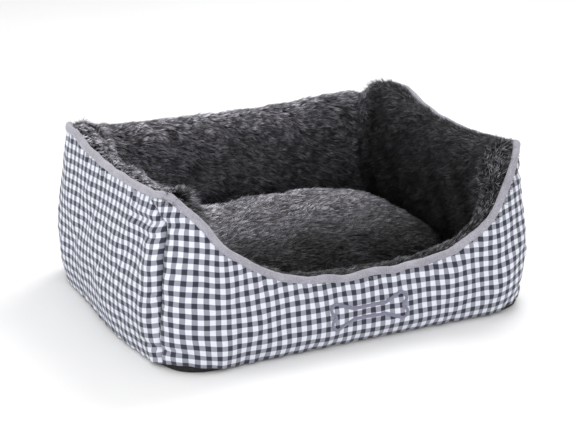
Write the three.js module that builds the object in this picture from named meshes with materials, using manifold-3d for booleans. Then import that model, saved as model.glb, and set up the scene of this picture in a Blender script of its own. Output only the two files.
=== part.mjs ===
// Pet cushion bed: a padded wall with a low front, sewn to a stiff base, with a loose cushion inside.
// Units are millimetres, +Z is up and the low entrance faces -Y.
import * as THREE from 'three';
import Module from 'manifold-3d';

// Overall shell
const WIDTH = 600;
const DEPTH = 500;
const CORNER_RADIUS = 95;
const RIM_HEIGHT = 248;
const FRONT_DIP = 148;
const FRONT_CURVE_LEFT = [2.8, 1.2];
const FRONT_CURVE_RIGHT = [4.2, 1.6];
const SIDE_DIP_LEFT = 18;
const SIDE_DIP_RIGHT = 26;
const SIDE_DIP_CENTRE = -30;
const SIDE_DIP_REACH_BACK = 165;
const SIDE_DIP_REACH_FRONT = 210;
const BACK_DIP = 35;
const BACK_FALL = 11;
const BACK_FALL_START = 120;
const BACK_FALL_END = 220;
const BACK_ROLL_RISE = 18;
const DIP_REACH = 0.985;
const RIM_INSET = 16;
const LEFT_BACK_LEAN = 6.5;
const FOOT_INSET = 9;
const FRONT_SEAM_ANGLE = 25;
const BACK_SEAM_ANGLE = 45;
const SEAM_HALF_GAP = 0.35;

// Fabric and filling
const SHELL_CLOTH = 1.8;
const LINING_CLOTH = 5;
const CLEARANCE = 0.6;
const PIPING_CLEARANCE = 1.1;
const FILLING_CLEARANCE = 1.8;
const WALL_THICKNESS = 64;
const PIPING_RADIUS = 6;
const PIPING_CLOTH = 1.6;
const PIPING_SLIT_ANGLE = 34;

// Base
const TRAY_CLOTH = 1.6;
const TRAY_HEIGHT = 9.6;
const PAD_BOTTOM = 2;
const PAD_TOP = 11;
const BASE_LINING_TOP = 12.4;
const WALL_BOTTOM = 13;

// Cushion
const CUSHION_WIDTH = 464;
const CUSHION_DEPTH = 352;
const CUSHION_RADIUS = 40;
const CUSHION_BOTTOM = 13;
const CUSHION_SEAM = 46;
const CUSHION_BAND = 12;
const CUSHION_CROWN = 106;
const COVER_TOP_CLOTH = 4;
const COVER_BOTTOM_CLOTH = 1.4;

// Zip on the back edge of the cushion cover
const ZIP_LENGTH = 260;
const ZIP_TAPE = 0.8;
const ZIP_TAPE_HEIGHT = 9.5;
const ZIP_COIL_HEIGHT = 4;
const ZIP_COIL_DEPTH = 1.8;
const STOP_LENGTH = 4;
const SLIDER_LENGTH = 12;
const SLIDER_HEIGHT = 9;
const SLIDER_PLATE = 1;
const SLIDER_PLATE_START = 2.7;
const SLIDER_LIP_START = 1.5;
const PULL_AXIS_OUT = 5.3;
const PULL_PIN_RADIUS = 0.6;
const PULL_BORE_RADIUS = 0.85;
const PULL_EYE_RADIUS = 1.4;
const PULL_LENGTH = 16;
const PULL_WIDTH = 4;
const PULL_HALF_THICKNESS = 0.5;
const EAR_THICKNESS = 1;
const EAR_LENGTH = 2.4;

// Stitched motif on the front panel
const MOTIF_CENTRE_HEIGHT = 50;
const MOTIF_HALF_LENGTH = 64;
const MOTIF_BAR_HALF = 9;
const MOTIF_LOBE_HALF = 21;
const MOTIF_THICKNESS = 1.2;
const MOTIF_SWELL = 0.03;

const wasm = await Module();
wasm.setup();

const GINGHAM = { color: 0x9a9ca6, roughness: 0.9 };
const DARK_FUR = { color: 0x2a2a2e, roughness: 1 };
const PALE_FUR = { color: 0x5f5f66, roughness: 1 };
const PIPING = { color: 0xa9a7b3, roughness: 0.85 };
const BLACK_CLOTH = { color: 0x141416, roughness: 0.8 };
const FILLING = { color: 0xe8e6de, roughness: 1 };
const THREAD = { color: 0x8a88a0, roughness: 0.7 };
const DARK_TAPE = { color: 0x2c2c30, roughness: 0.8 };
const ZIP_METAL = { color: 0x6c6c72, roughness: 0.35, metalness: 1 };

const bed = new THREE.Group();
bed.name = 'pet_cushion_bed';

function addPart(name, geometry, look) {
  const mesh = new THREE.Mesh(geometry, new THREE.MeshStandardMaterial(look));
  mesh.name = name;
  bed.add(mesh);
}

// Turns points and faces into a geometry whose faces look outward.
function solidFrom(points, faces) {
  let volume = 0;
  for (const [a, b, c] of faces) {
    volume += points[a].dot(new THREE.Vector3().crossVectors(points[b], points[c]));
  }
  const ordered = volume < 0 ? faces.map(([a, b, c]) => [a, c, b]) : faces;
  const geometry = new THREE.BufferGeometry();
  const position = new THREE.BufferAttribute(new Float32Array(points.length * 3), 3);
  points.forEach((point, index) => position.setXYZ(index, point.x, point.y, point.z));
  geometry.setAttribute('position', position);
  geometry.setIndex(ordered.flat());
  geometry.computeVertexNormals();
  return geometry;
}

// Side faces between two rings of equal count.
function stripFaces(first, second, count) {
  const faces = [];
  for (let j = 0; j < count; j += 1) {
    const k = (j + 1) % count;
    faces.push([first + j, second + j, second + k]);
    faces.push([first + j, second + k, first + k]);
  }
  return faces;
}

// End cap of a run, from the flat outline of its section.
function capFaces(outline, start, reverse) {
  const flat = outline.map(([u, z]) => new THREE.Vector2(u, z));
  const turn = Math.sign(THREE.ShapeUtils.area(flat));
  const faces = [];
  for (const [a, b, c] of THREE.ShapeUtils.triangulateShape(flat, [])) {
    const side = Math.sign(THREE.ShapeUtils.area([flat[a], flat[b], flat[c]]));
    const keep = (side === turn) !== reverse;
    faces.push(keep ? [start + a, start + b, start + c] : [start + a, start + c, start + b]);
  }
  return faces;
}

// Skins a run of section rings; an open run is capped with its end outlines.
function skinRun(rings, closed, outlines) {
  const count = rings[0].length;
  const faces = [];
  const last = closed ? rings.length : rings.length - 1;
  for (let i = 0; i < last; i += 1) {
    faces.push(...stripFaces(i * count, ((i + 1) % rings.length) * count, count));
  }
  if (!closed) {
    faces.push(...capFaces(outlines[0], 0, false));
    faces.push(...capFaces(outlines[outlines.length - 1], (rings.length - 1) * count, true));
  }
  return solidFrom(rings.flat(), faces);
}

// Skins level loops from one pole to another.
function skinLoops(firstPole, loops, lastPole) {
  const count = loops[0].length;
  const points = loops.flat();
  const faces = [];
  for (let i = 0; i + 1 < loops.length; i += 1) {
    faces.push(...stripFaces(i * count, (i + 1) * count, count));
  }
  const first = points.push(firstPole) - 1;
  const last = points.push(lastPole) - 1;
  const end = (loops.length - 1) * count;
  for (let j = 0; j < count; j += 1) {
    const k = (j + 1) % count;
    faces.push([first, j, k]);
    faces.push([last, end + k, end + j]);
  }
  return solidFrom(points, faces);
}

function prism(points2d, makePoint, from, to) {
  const rings = [from, to].map((level) => points2d.map(([u, v]) => makePoint(u, v, level)));
  return skinRun(rings, false, [points2d, points2d]);
}

function box(x0, x1, y0, y1, z0, z1) {
  const outline = [[y0, z0], [y1, z0], [y1, z1], [y0, z1]];
  return prism(outline, (y, z, x) => new THREE.Vector3(x, y, z), x0, x1);
}

function toManifold(geometry) {
  const triVerts = new Uint32Array(geometry.index.array);
  const vertProperties = new Float32Array(geometry.attributes.position.array);
  return new wasm.Manifold(new wasm.Mesh({ numProp: 3, vertProperties, triVerts }));
}

function joinSolids(geometries) {
  const joined = wasm.Manifold.union(geometries.map(toManifold)).getMesh();
  const points = [];
  for (let i = 0; i < joined.vertProperties.length; i += joined.numProp) {
    points.push(new THREE.Vector3(...joined.vertProperties.slice(i, i + 3)));
  }
  const faces = [];
  for (let i = 0; i < joined.triVerts.length; i += 3) {
    faces.push([...joined.triVerts.slice(i, i + 3)]);
  }
  return solidFrom(points, faces);
}

// --- Outline of the shell -------------------------------------------------------------------

// Rim height over a point of the plan outline.
function rimHeight(x, y) {
  const across = Math.min(1, Math.abs(x) / (WIDTH / 2 * DIP_REACH));
  const [spread, ease] = x < 0 ? FRONT_CURVE_LEFT : FRONT_CURVE_RIGHT;
  const front = FRONT_DIP * (1 - across ** spread) ** ease;
  const end = y < 0 ? front : BACK_DIP * (1 - across ** 8);
  const off = y - SIDE_DIP_CENTRE;
  const reach = off > 0 ? SIDE_DIP_REACH_BACK : SIDE_DIP_REACH_FRONT;
  const fall = Math.min(1, Math.abs(off) / reach) ** (off > 0 ? 2.5 : 1.7);
  const sideDip = x < 0 ? SIDE_DIP_LEFT : SIDE_DIP_RIGHT;
  const side = sideDip * (1 - fall) * across ** 8;
  const behind = THREE.MathUtils.smoothstep(y, BACK_FALL_START, BACK_FALL_END);
  const tilt = 0.5 + x / WIDTH;
  return RIM_HEIGHT - Math.cbrt(end ** 3 + side ** 3) - BACK_FALL * behind * tilt;
}

function station(x, y, angle) {
  const turn = THREE.MathUtils.degToRad(angle);
  return { x, y, nx: Math.cos(turn), ny: Math.sin(turn) };
}

// Stations on a corner arc between two angles, both ends included.
function arcStations(angle0, angle1, steps) {
  const middle = THREE.MathUtils.degToRad((Math.floor(((angle0 + angle1) / 2) / 90) + 0.5) * 90);
  const cx = Math.sign(Math.cos(middle)) * (WIDTH / 2 - CORNER_RADIUS);
  const cy = Math.sign(Math.sin(middle)) * (DEPTH / 2 - CORNER_RADIUS);
  const list = [];
  for (let i = 0; i <= steps; i += 1) {
    const angle = angle0 + (angle1 - angle0) * i / steps;
    const turn = THREE.MathUtils.degToRad(angle);
    const x = cx + CORNER_RADIUS * Math.cos(turn);
    const y = cy + CORNER_RADIUS * Math.sin(turn);
    list.push(station(x, y, angle));
  }
  return list;
}

// Inner stations of the straight between two arcs, ends left out.
function straightStations(from, to, angle, steps) {
  const list = [];
  for (let i = 1; i < steps; i += 1) {
    const t = i / steps;
    list.push(station(from.x + (to.x - from.x) * t, from.y + (to.y - from.y) * t, angle));
  }
  return list;
}

// Stations of one wall: part of a corner, a straight and part of the next corner.
function wallStations(startAngle, normalAngle, endAngle, arcSteps, straightSteps) {
  const first = arcStations(startAngle + SEAM_HALF_GAP, normalAngle, arcSteps[0]);
  const last = arcStations(normalAngle, endAngle - SEAM_HALF_GAP, arcSteps[1]);
  const middle = straightStations(first[first.length - 1], last[0], normalAngle, straightSteps);
  return [...first, ...middle, ...last].map(withRim);
}

// Rim height, how far the rim leans in and how steeply it climbs at a station.
function withRim(place) {
  const step = 4;
  const tx = -place.ny;
  const ty = place.nx;
  const ahead = rimHeight(place.x + tx * step, place.y + ty * step);
  const behind = rimHeight(place.x - tx * step, place.y - ty * step);
  const climb = (ahead - behind) / (2 * step);
  const corner = place.nx < 0 ? Math.max(0, -2 * place.nx * place.ny) : 0;
  return {
    ...place,
    rim: rimHeight(place.x, place.y),
    lean: RIM_INSET + LEFT_BACK_LEAN * corner,
    stretch: Math.sqrt(1 + climb * climb),
  };
}

const WALLS = {
  front: wallStations(180 + FRONT_SEAM_ANGLE, 270, 360 - FRONT_SEAM_ANGLE, [4, 4], 10),
  right: wallStations(-FRONT_SEAM_ANGLE, 0, BACK_SEAM_ANGLE, [2, 3], 6),
  back: wallStations(BACK_SEAM_ANGLE, 90, 180 - BACK_SEAM_ANGLE, [3, 3], 6),
  left: wallStations(180 - BACK_SEAM_ANGLE, 180, 180 + FRONT_SEAM_ANGLE, [3, 2], 6),
};
const WHOLE_LOOP = [...WALLS.front, ...WALLS.right, ...WALLS.back, ...WALLS.left];

// A point a given distance in from the outline, at a given height.
function inFrom(place, inset, height) {
  return new THREE.Vector3(place.x - place.nx * inset, place.y - place.ny * inset, height);
}

// Inset of the outer skin: fullest low down, leaning in towards the rim.
function skinInset(share, rimInset) {
  const heights = [0, 0.1, 0.25, 0.4, 0.6, 0.8, 1];
  const foot = [FOOT_INSET, FOOT_INSET * 0.35, 0, 0, 0, 0, 0];
  const lean = [0, 0, 0, 0, rimInset * 0.22, rimInset * 0.55, rimInset];
  const i = Math.min(heights.length - 2, heights.findIndex((h, n) => share <= heights[n + 1]));
  const t = (share - heights[i]) / (heights[i + 1] - heights[i]);
  const low = foot[i] + lean[i];
  return low + (foot[i + 1] + lean[i + 1] - low) * t;
}

const SKIN_SHARES = [0, 0.1, 0.25, 0.4, 0.6, 0.8];

// --- Wall sections: lists of [inset, height] --------------------------------------------------

function outerPanelOutline(place) {
  const bottom = TRAY_HEIGHT + CLEARANCE;
  const top = place.rim - (PIPING_RADIUS + PIPING_CLEARANCE) * place.stretch;
  const shares = [...SKIN_SHARES, (top - bottom) / (place.rim - bottom)];
  const outside = shares.map((share) => {
    return [skinInset(share, place.lean), bottom + (place.rim - bottom) * share];
  });
  const inside = outside.map(([inset, height]) => [inset + SHELL_CLOTH, height]);
  return [...outside, ...inside.reverse()];
}

// The furry face of a wall: from behind the piping, over the roll and down to the floor.
function furCurve(place) {
  const rim = place.rim;
  const start = place.lean + 1 + PIPING_RADIUS + CLEARANCE;
  const middle = (rim + WALL_BOTTOM) / 2;
  const roll = BACK_ROLL_RISE * Math.max(0, place.ny) ** 2;
  return [
    [start, rim - 8 * place.stretch],
    [start + 1, rim - 2],
    [start + 6, rim + 2.5 + roll * 0.7],
    [start + 15, rim + 4 + roll],
    [start + 24, rim + 1 + roll],
    [WALL_THICKNESS - 8, rim - 7 + roll],
    [WALL_THICKNESS - 3, rim - 19 + roll],
    [WALL_THICKNESS, rim - 38 + roll],
    [WALL_THICKNESS, middle - 8],
    [WALL_THICKNESS - 3, WALL_BOTTOM],
  ];
}

// The same curve moved into the wall by a distance.
function curveInside(curve, distance) {
  return curve.map(([u, z], i) => {
    const before = curve[Math.max(0, i - 1)];
    const after = curve[Math.min(curve.length - 1, i + 1)];
    const du = after[0] - before[0];
    const dz = after[1] - before[1];
    const length = Math.hypot(du, dz);
    return [u + dz / length * distance, z - du / length * distance];
  });
}

function liningOutline(place) {
  const outside = furCurve(place);
  const inside = curveInside(outside, LINING_CLOTH);
  inside[0] = [outside[0][0] + LINING_CLOTH, outside[0][1]];
  inside[inside.length - 1][1] = WALL_BOTTOM;
  return [...outside, ...inside.reverse()];
}

function fillingOutline(place) {
  const bottom = TRAY_HEIGHT + CLEARANCE;
  const shares = [(WALL_BOTTOM - bottom) / (place.rim - bottom), ...SKIN_SHARES.slice(1)];
  const back = SHELL_CLOTH + CLEARANCE;
  const outside = shares.map((share) => {
    return [skinInset(share, place.lean) + back, bottom + (place.rim - bottom) * share];
  });
  const shoulder = place.rim - (PIPING_RADIUS + 5) * place.stretch;
  const inside = curveInside(furCurve(place), LINING_CLOTH + FILLING_CLEARANCE);
  inside[inside.length - 1][1] = WALL_BOTTOM;
  const top = [place.lean + back, shoulder];
  const under = [furCurve(place)[0][0] + LINING_CLOTH + FILLING_CLEARANCE, shoulder];
  return [...outside, top, under, ...inside.slice(3)];
}

function wallSolid(stations, outlineOf) {
  const outlines = stations.map(outlineOf);
  const rings = stations.map((place, i) => outlines[i].map(([u, z]) => inFrom(place, u, z)));
  return skinRun(rings, false, outlines);
}

for (const [side, stations] of Object.entries(WALLS)) {
  addPart(`outer_panel_${side}`, wallSolid(stations, outerPanelOutline), GINGHAM);
  addPart(`wall_filling_${side}`, wallSolid(stations, fillingOutline), FILLING);
  addPart(`lining_${side}`, wallSolid(stations, liningOutline), DARK_FUR);
}

// --- Piping along the rim ---------------------------------------------------------------------

// Rings square to the rim line, from an outline of [radius, angle] points.
function pipingRings(outline) {
  const centres = WHOLE_LOOP.map((place) => inFrom(place, place.lean + 1, place.rim));
  return WHOLE_LOOP.map((place, i) => {
    const before = centres[(i + centres.length - 1) % centres.length];
    const after = centres[(i + 1) % centres.length];
    const along = new THREE.Vector3().subVectors(after, before).normalize();
    const out = new THREE.Vector3(place.nx, place.ny, 0);
    out.addScaledVector(along, -out.dot(along)).normalize();
    const up = new THREE.Vector3().crossVectors(out, along);
    up.multiplyScalar(Math.sign(up.z));
    return outline.map(([radius, angle]) => {
      const turn = THREE.MathUtils.degToRad(angle);
      const point = centres[i].clone();
      point.addScaledVector(out, radius * Math.cos(turn));
      return point.addScaledVector(up, radius * Math.sin(turn));
    });
  });
}

function pipingCover() {
  const steps = 7;
  const from = -90 + PIPING_SLIT_ANGLE / 2;
  const sweep = 360 - PIPING_SLIT_ANGLE;
  const outside = [];
  const inside = [];
  for (let i = 0; i <= steps; i += 1) {
    outside.push([PIPING_RADIUS, from + sweep * i / steps]);
    inside.unshift([PIPING_RADIUS - PIPING_CLOTH, from + sweep * i / steps]);
  }
  return skinRun(pipingRings([...outside, ...inside]), true);
}

function pipingCord() {
  const sides = 7;
  const radius = (PIPING_RADIUS - PIPING_CLOTH) * Math.cos(Math.PI / sides) - CLEARANCE;
  const outline = [];
  for (let i = 0; i < sides; i += 1) {
    outline.push([radius, 360 * i / sides]);
  }
  return skinRun(pipingRings(outline), true);
}

addPart('piping_cover', pipingCover(), PIPING);
addPart('piping_cord', pipingCord(), FILLING);

// --- Base -------------------------------------------------------------------------------------

function shellLoop(inset, height) {
  return WHOLE_LOOP.map((place) => inFrom(place, inset, height));
}

function centre(height) {
  return new THREE.Vector3(0, 0, height);
}

function baseTray() {
  const outer = FOOT_INSET - 1;
  const loops = [
    shellLoop(outer + 5, 0),
    shellLoop(outer + 1.5, 1.2),
    shellLoop(outer, 4.5),
    shellLoop(outer, TRAY_HEIGHT),
    shellLoop(outer + TRAY_CLOTH, TRAY_HEIGHT),
    shellLoop(outer + TRAY_CLOTH, 4.5),
    shellLoop(outer + 5, TRAY_CLOTH),
  ];
  return skinLoops(centre(0), loops, centre(TRAY_CLOTH));
}

addPart('base_panel', baseTray(), BLACK_CLOTH);
const padInset = FOOT_INSET + 6;
const padLoops = [shellLoop(padInset, PAD_BOTTOM), shellLoop(padInset, PAD_TOP)];
addPart('base_pad', skinLoops(centre(PAD_BOTTOM), padLoops, centre(PAD_TOP)), FILLING);
const baseLiningBottom = PAD_TOP + CLEARANCE / 2;
const floorLoops = [shellLoop(padInset, baseLiningBottom), shellLoop(padInset, BASE_LINING_TOP)];
const floorCloth = skinLoops(centre(baseLiningBottom), floorLoops, centre(BASE_LINING_TOP));
addPart('base_lining', floorCloth, BLACK_CLOTH);

// --- Stitched bone motif on the front panel ---------------------------------------------------

function motifHalfHeight(x) {
  const t = Math.abs(x) / MOTIF_HALF_LENGTH;
  const lobeCentre = 0.76;
  const lobeReach = 0.235;
  const off = (t - lobeCentre) / lobeReach;
  const lobe = Math.abs(off) < 1 ? MOTIF_LOBE_HALF * Math.sqrt(1 - off * off) : 0;
  return t < lobeCentre ? Math.max(MOTIF_BAR_HALF, lobe) : Math.max(2, lobe);
}

function motif() {
  const bottom = TRAY_HEIGHT + CLEARANCE;
  const steps = 28;
  const rows = 5;
  const outlines = [];
  const rings = [];
  for (let i = 0; i <= steps; i += 1) {
    const x = MOTIF_HALF_LENGTH * (2 * i / steps - 1) * 0.985;
    const half = motifHalfHeight(x);
    const rim = rimHeight(x, -DEPTH / 2);
    const back = [];
    const face = [];
    for (let j = 0; j <= rows; j += 1) {
      const z = MOTIF_CENTRE_HEIGHT + half * (2 * j / rows - 1);
      const swell = MOTIF_SWELL * j * (rows - j);
      const y = -DEPTH / 2 + skinInset((z - bottom) / (rim - bottom), RIM_INSET) - CLEARANCE - swell;
      back.push([y, z]);
      face.unshift([y - MOTIF_THICKNESS, z]);
    }
    const outline = [...back, ...face];
    outlines.push(outline);
    rings.push(outline.map(([y, z]) => new THREE.Vector3(x, y, z)));
  }
  return skinRun(rings, false, outlines);
}

addPart('stitched_motif', motif(), THREAD);

// --- Cushion ----------------------------------------------------------------------------------

// One level loop of the cushion: the outline shrunk towards the middle by a share.
function cushionLoop(inset, share, height) {
  const halfWidth = CUSHION_WIDTH / 2 - inset;
  const halfDepth = CUSHION_DEPTH / 2 - inset;
  const radius = Math.max(8, CUSHION_RADIUS - inset);
  const corners = [[1, -1, -90], [1, 1, 0], [-1, 1, 90], [-1, -1, 180]];
  const arcSteps = 4;
  const sideSteps = 4;
  const loop = [];
  corners.forEach(([sx, sy, angle], n) => {
    for (let i = 0; i <= arcSteps; i += 1) {
      const turn = THREE.MathUtils.degToRad(angle + 90 * i / arcSteps);
      const x = sx * (halfWidth - radius) + radius * Math.cos(turn);
      const y = sy * (halfDepth - radius) + radius * Math.sin(turn);
      loop.push(new THREE.Vector3(x * share, y * share, height));
    }
    const [nextX, nextY, nextAngle] = corners[(n + 1) % corners.length];
    const turn = THREE.MathUtils.degToRad(nextAngle);
    const endX = nextX * (halfWidth - radius) + radius * Math.cos(turn);
    const endY = nextY * (halfDepth - radius) + radius * Math.sin(turn);
    const from = loop[loop.length - 1];
    for (let i = 1; i < sideSteps; i += 1) {
      const t = i / sideSteps;
      const x = from.x + (endX * share - from.x) * t;
      const y = from.y + (endY * share - from.y) * t;
      loop.push(new THREE.Vector3(x, y, height));
    }
  });
  return loop;
}

// Height of the domed face at a share of the way from the middle to the edge.
function domeHeight(share, low, high) {
  return low + (high - low) * (1 - share ** 4) ** 0.62;
}

const DOME_SHARES = [0.3, 0.6, 0.8, 0.92, 0.98];

function domeLoops(inset, low, high) {
  return DOME_SHARES.map((share) => cushionLoop(inset, share, domeHeight(share, low, high)));
}

function coverTop() {
  const seam = CUSHION_SEAM + CLEARANCE / 2;
  const shoulder = CUSHION_SEAM + CUSHION_BAND;
  const inner = COVER_TOP_CLOTH;
  const loops = [
    ...domeLoops(inner, shoulder, CUSHION_CROWN - inner),
    cushionLoop(inner, 1, shoulder),
    cushionLoop(inner, 1, seam),
    cushionLoop(0, 1, seam),
    cushionLoop(0, 1, shoulder),
    ...domeLoops(0, shoulder + inner * 0.6, CUSHION_CROWN).reverse(),
  ];
  return skinLoops(centre(CUSHION_CROWN - inner), loops, centre(CUSHION_CROWN));
}

function coverBottom() {
  const seam = CUSHION_SEAM - CLEARANCE / 2;
  const shoulder = CUSHION_SEAM - CUSHION_BAND;
  const cloth = COVER_BOTTOM_CLOTH;
  const floor = CUSHION_BOTTOM;
  const loops = [
    cushionLoop(26, 1, floor),
    cushionLoop(8, 1, floor + 6),
    cushionLoop(0, 1, shoulder),
    cushionLoop(0, 1, seam),
    cushionLoop(cloth, 1, seam),
    cushionLoop(cloth, 1, shoulder),
    cushionLoop(8 + cloth, 1, floor + 6 + cloth),
    cushionLoop(26, 1, floor + cloth),
  ];
  return skinLoops(centre(floor), loops, centre(floor + cloth));
}

function cushionFilling() {
  const gap = CLEARANCE;
  const side = COVER_TOP_CLOTH + gap;
  const shoulder = CUSHION_SEAM + CUSHION_BAND - gap;
  const floor = CUSHION_BOTTOM + COVER_BOTTOM_CLOTH + gap;
  const loops = [
    cushionLoop(28, 1, floor),
    cushionLoop(14, 1, floor + 6),
    cushionLoop(side, 1, CUSHION_SEAM - CUSHION_BAND + 1),
    cushionLoop(side, 1, shoulder),
    ...domeLoops(side, shoulder, CUSHION_CROWN - COVER_TOP_CLOTH - gap).reverse(),
  ];
  return skinLoops(centre(floor), loops, centre(CUSHION_CROWN - COVER_TOP_CLOTH - gap));
}

addPart('cushion_cover_top', coverTop(), PALE_FUR);
addPart('cushion_cover_bottom', coverBottom(), BLACK_CLOTH);
addPart('cushion_filling', cushionFilling(), FILLING);

// --- Zip on the cushion's back edge -------------------------------------------------------------

const zipFace = CUSHION_DEPTH / 2;
const halfZip = ZIP_LENGTH / 2;
const coilHalf = ZIP_COIL_HEIGHT / 2;
const tapeNear = zipFace + CLEARANCE / 2;
const tapeStart = coilHalf + CLEARANCE / 2;

function tape(sign) {
  const edges = [CUSHION_SEAM + sign * tapeStart, CUSHION_SEAM + sign * (tapeStart + ZIP_TAPE_HEIGHT)];
  const [low, high] = edges.sort((a, b) => a - b);
  return box(-halfZip, halfZip, tapeNear, tapeNear + ZIP_TAPE, low, high);
}

function endStop(sign) {
  const ends = [sign * (halfZip - STOP_LENGTH), sign * halfZip].sort((a, b) => a - b);
  const near = tapeNear + ZIP_TAPE / 2;
  const low = CUSHION_SEAM - coilHalf;
  return box(ends[0], ends[1], near, near + ZIP_COIL_DEPTH, low, low + ZIP_COIL_HEIGHT);
}

addPart('zip_tape_upper', tape(1), DARK_TAPE);
addPart('zip_tape_lower', tape(-1), DARK_TAPE);
addPart('zip_stop_left', endStop(-1), ZIP_METAL);
addPart('zip_stop_right', endStop(1), ZIP_METAL);
const coilEnd = halfZip - STOP_LENGTH - CLEARANCE;
const coilNear = tapeNear + ZIP_TAPE / 4;
const coilLow = CUSHION_SEAM - coilHalf;
const coilHigh = CUSHION_SEAM + coilHalf;
const coil = box(-coilEnd, coilEnd, coilNear, coilNear + ZIP_COIL_DEPTH, coilLow, coilHigh);
addPart('zip_coil', coil, DARK_TAPE);

const sliderStart = -coilEnd + 1;
const sliderEnd = sliderStart + SLIDER_LENGTH;
const pullAxisX = sliderStart + SLIDER_LENGTH / 2;
const pullAxisY = zipFace + PULL_AXIS_OUT;

function roundBar(x, y, radius, low, high) {
  const sides = 12;
  const outline = [];
  for (let i = 0; i < sides; i += 1) {
    const turn = 2 * Math.PI * i / sides;
    outline.push([x + radius * Math.cos(turn), y + radius * Math.sin(turn)]);
  }
  return prism(outline, (u, v, z) => new THREE.Vector3(u, v, z), low, high);
}

function slider() {
  const halfHeight = SLIDER_HEIGHT / 2;
  const lip = halfHeight - 1.2;
  const lipNear = zipFace + SLIDER_LIP_START;
  const plateNear = zipFace + SLIDER_PLATE_START;
  const plateFar = plateNear + SLIDER_PLATE;
  const channel = [
    [lipNear, -halfHeight],
    [plateFar, -halfHeight],
    [plateFar, halfHeight],
    [lipNear, halfHeight],
    [lipNear, lip],
    [plateNear, lip],
    [plateNear, -lip],
    [lipNear, -lip],
  ];
  const makePoint = (y, z, x) => new THREE.Vector3(x, y, CUSHION_SEAM + z);
  const earGap = PULL_WIDTH / 2 + CLEARANCE / 2;
  const earFar = earGap + EAR_THICKNESS;
  const x0 = pullAxisX - EAR_LENGTH / 2;
  const x1 = pullAxisX + EAR_LENGTH / 2;
  const earTop = pullAxisY + PULL_PIN_RADIUS + 0.5;
  const seat = plateFar - SLIDER_PLATE / 2;
  const pieces = [
    prism(channel, makePoint, sliderStart, sliderEnd),
    box(x0, x1, seat, earTop, CUSHION_SEAM + earGap, CUSHION_SEAM + earFar),
    box(x0, x1, seat, earTop, CUSHION_SEAM - earFar, CUSHION_SEAM - earGap),
    roundBar(
      pullAxisX,
      pullAxisY,
      PULL_PIN_RADIUS,
      CUSHION_SEAM - earGap - EAR_THICKNESS / 2,
      CUSHION_SEAM + earGap + EAR_THICKNESS / 2,
    ),
  ];
  return joinSolids(pieces);
}

// Keyhole tab: an eye round the pin and a flat grip that lies along the zip.
function pullTab() {
  const thick = PULL_HALF_THICKNESS;
  const meet = Math.asin(thick / PULL_EYE_RADIUS);
  const shape = new THREE.Shape();
  shape.moveTo(PULL_LENGTH, -thick);
  shape.lineTo(PULL_LENGTH, thick);
  const sides = 12;
  for (let i = 0; i <= sides; i += 1) {
    const turn = meet + (2 * Math.PI - 2 * meet) * i / sides;
    shape.lineTo(PULL_EYE_RADIUS * Math.cos(turn), PULL_EYE_RADIUS * Math.sin(turn));
  }
  const bore = new THREE.Path();
  for (let i = 0; i < sides; i += 1) {
    const turn = -2 * Math.PI * i / sides;
    const x = PULL_BORE_RADIUS * Math.cos(turn);
    const y = PULL_BORE_RADIUS * Math.sin(turn);
    if (i === 0) {
      bore.moveTo(x, y);
    } else {
      bore.lineTo(x, y);
    }
  }
  bore.closePath();
  shape.holes.push(bore);
  const geometry = new THREE.ExtrudeGeometry(shape, { depth: PULL_WIDTH, bevelEnabled: false });
  geometry.translate(pullAxisX, pullAxisY, CUSHION_SEAM - PULL_WIDTH / 2);
  return geometry;
}

addPart('zip_slider', slider(), ZIP_METAL);
addPart('zip_pull_tab', pullTab(), ZIP_METAL);

export default bed;
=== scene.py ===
"""Makes the cloth, fur, piping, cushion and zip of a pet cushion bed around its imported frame."""

import math

import bmesh
import bpy
import numpy as np
from bpy.props import FloatProperty, FloatVectorProperty, IntProperty, PointerProperty
from bpy.types import Operator, Panel, PropertyGroup
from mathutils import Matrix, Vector
from mathutils.kdtree import KDTree


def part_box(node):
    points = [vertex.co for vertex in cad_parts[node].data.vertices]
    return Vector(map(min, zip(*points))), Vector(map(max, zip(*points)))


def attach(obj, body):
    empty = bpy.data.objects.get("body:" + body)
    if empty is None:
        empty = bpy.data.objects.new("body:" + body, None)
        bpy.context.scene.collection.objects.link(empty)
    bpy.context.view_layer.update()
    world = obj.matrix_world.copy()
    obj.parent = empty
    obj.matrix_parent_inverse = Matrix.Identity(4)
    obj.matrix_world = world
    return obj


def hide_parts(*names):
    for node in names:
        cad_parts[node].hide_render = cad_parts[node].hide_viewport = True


bl_info = {
    "name": "Pet Cushion Bed",
    "version": (1, 0, 0),
    "blender": (4, 5, 0),
    "location": "View3D > Sidebar > Pet Bed",
    "description": "Gingham pet sofa with fur lining, corded rim and a loose zipped cushion",
    "category": "Object",
}

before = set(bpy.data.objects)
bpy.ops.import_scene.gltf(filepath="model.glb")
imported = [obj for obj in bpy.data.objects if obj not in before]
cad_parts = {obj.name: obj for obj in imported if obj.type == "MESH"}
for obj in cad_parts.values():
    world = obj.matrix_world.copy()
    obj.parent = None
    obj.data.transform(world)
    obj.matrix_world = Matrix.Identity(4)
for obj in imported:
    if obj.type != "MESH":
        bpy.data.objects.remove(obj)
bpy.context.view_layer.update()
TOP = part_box("cushion_cover_top")
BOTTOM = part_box("cushion_cover_bottom")
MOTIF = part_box("stitched_motif")
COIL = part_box("zip_coil")

# the corner seams, as distances along the outline from the middle of the front
FRONT_SEAM = 0.3128
BACK_SEAM = 0.7388
LEFT_BACK_SEAM = 1.2980
LEFT_FRONT_SEAM = 1.7241
LINING_BACK_SEAM = 0.7088
# wall: seam at its start, seam at its end
WALLS = {
    "front": (-FRONT_SEAM, FRONT_SEAM),
    "right": (FRONT_SEAM, BACK_SEAM),
    "back": (BACK_SEAM, LEFT_BACK_SEAM),
    "left": (LEFT_BACK_SEAM, LEFT_FRONT_SEAM),
}
# share of the wall hairs in each mesh of pile, and how many meshes the pile is split into
FUR_SHARES = {"front": (0.68, 1), "right": (0.74, 2), "back": (0.92, 2), "left": (0.80, 1)}
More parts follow.
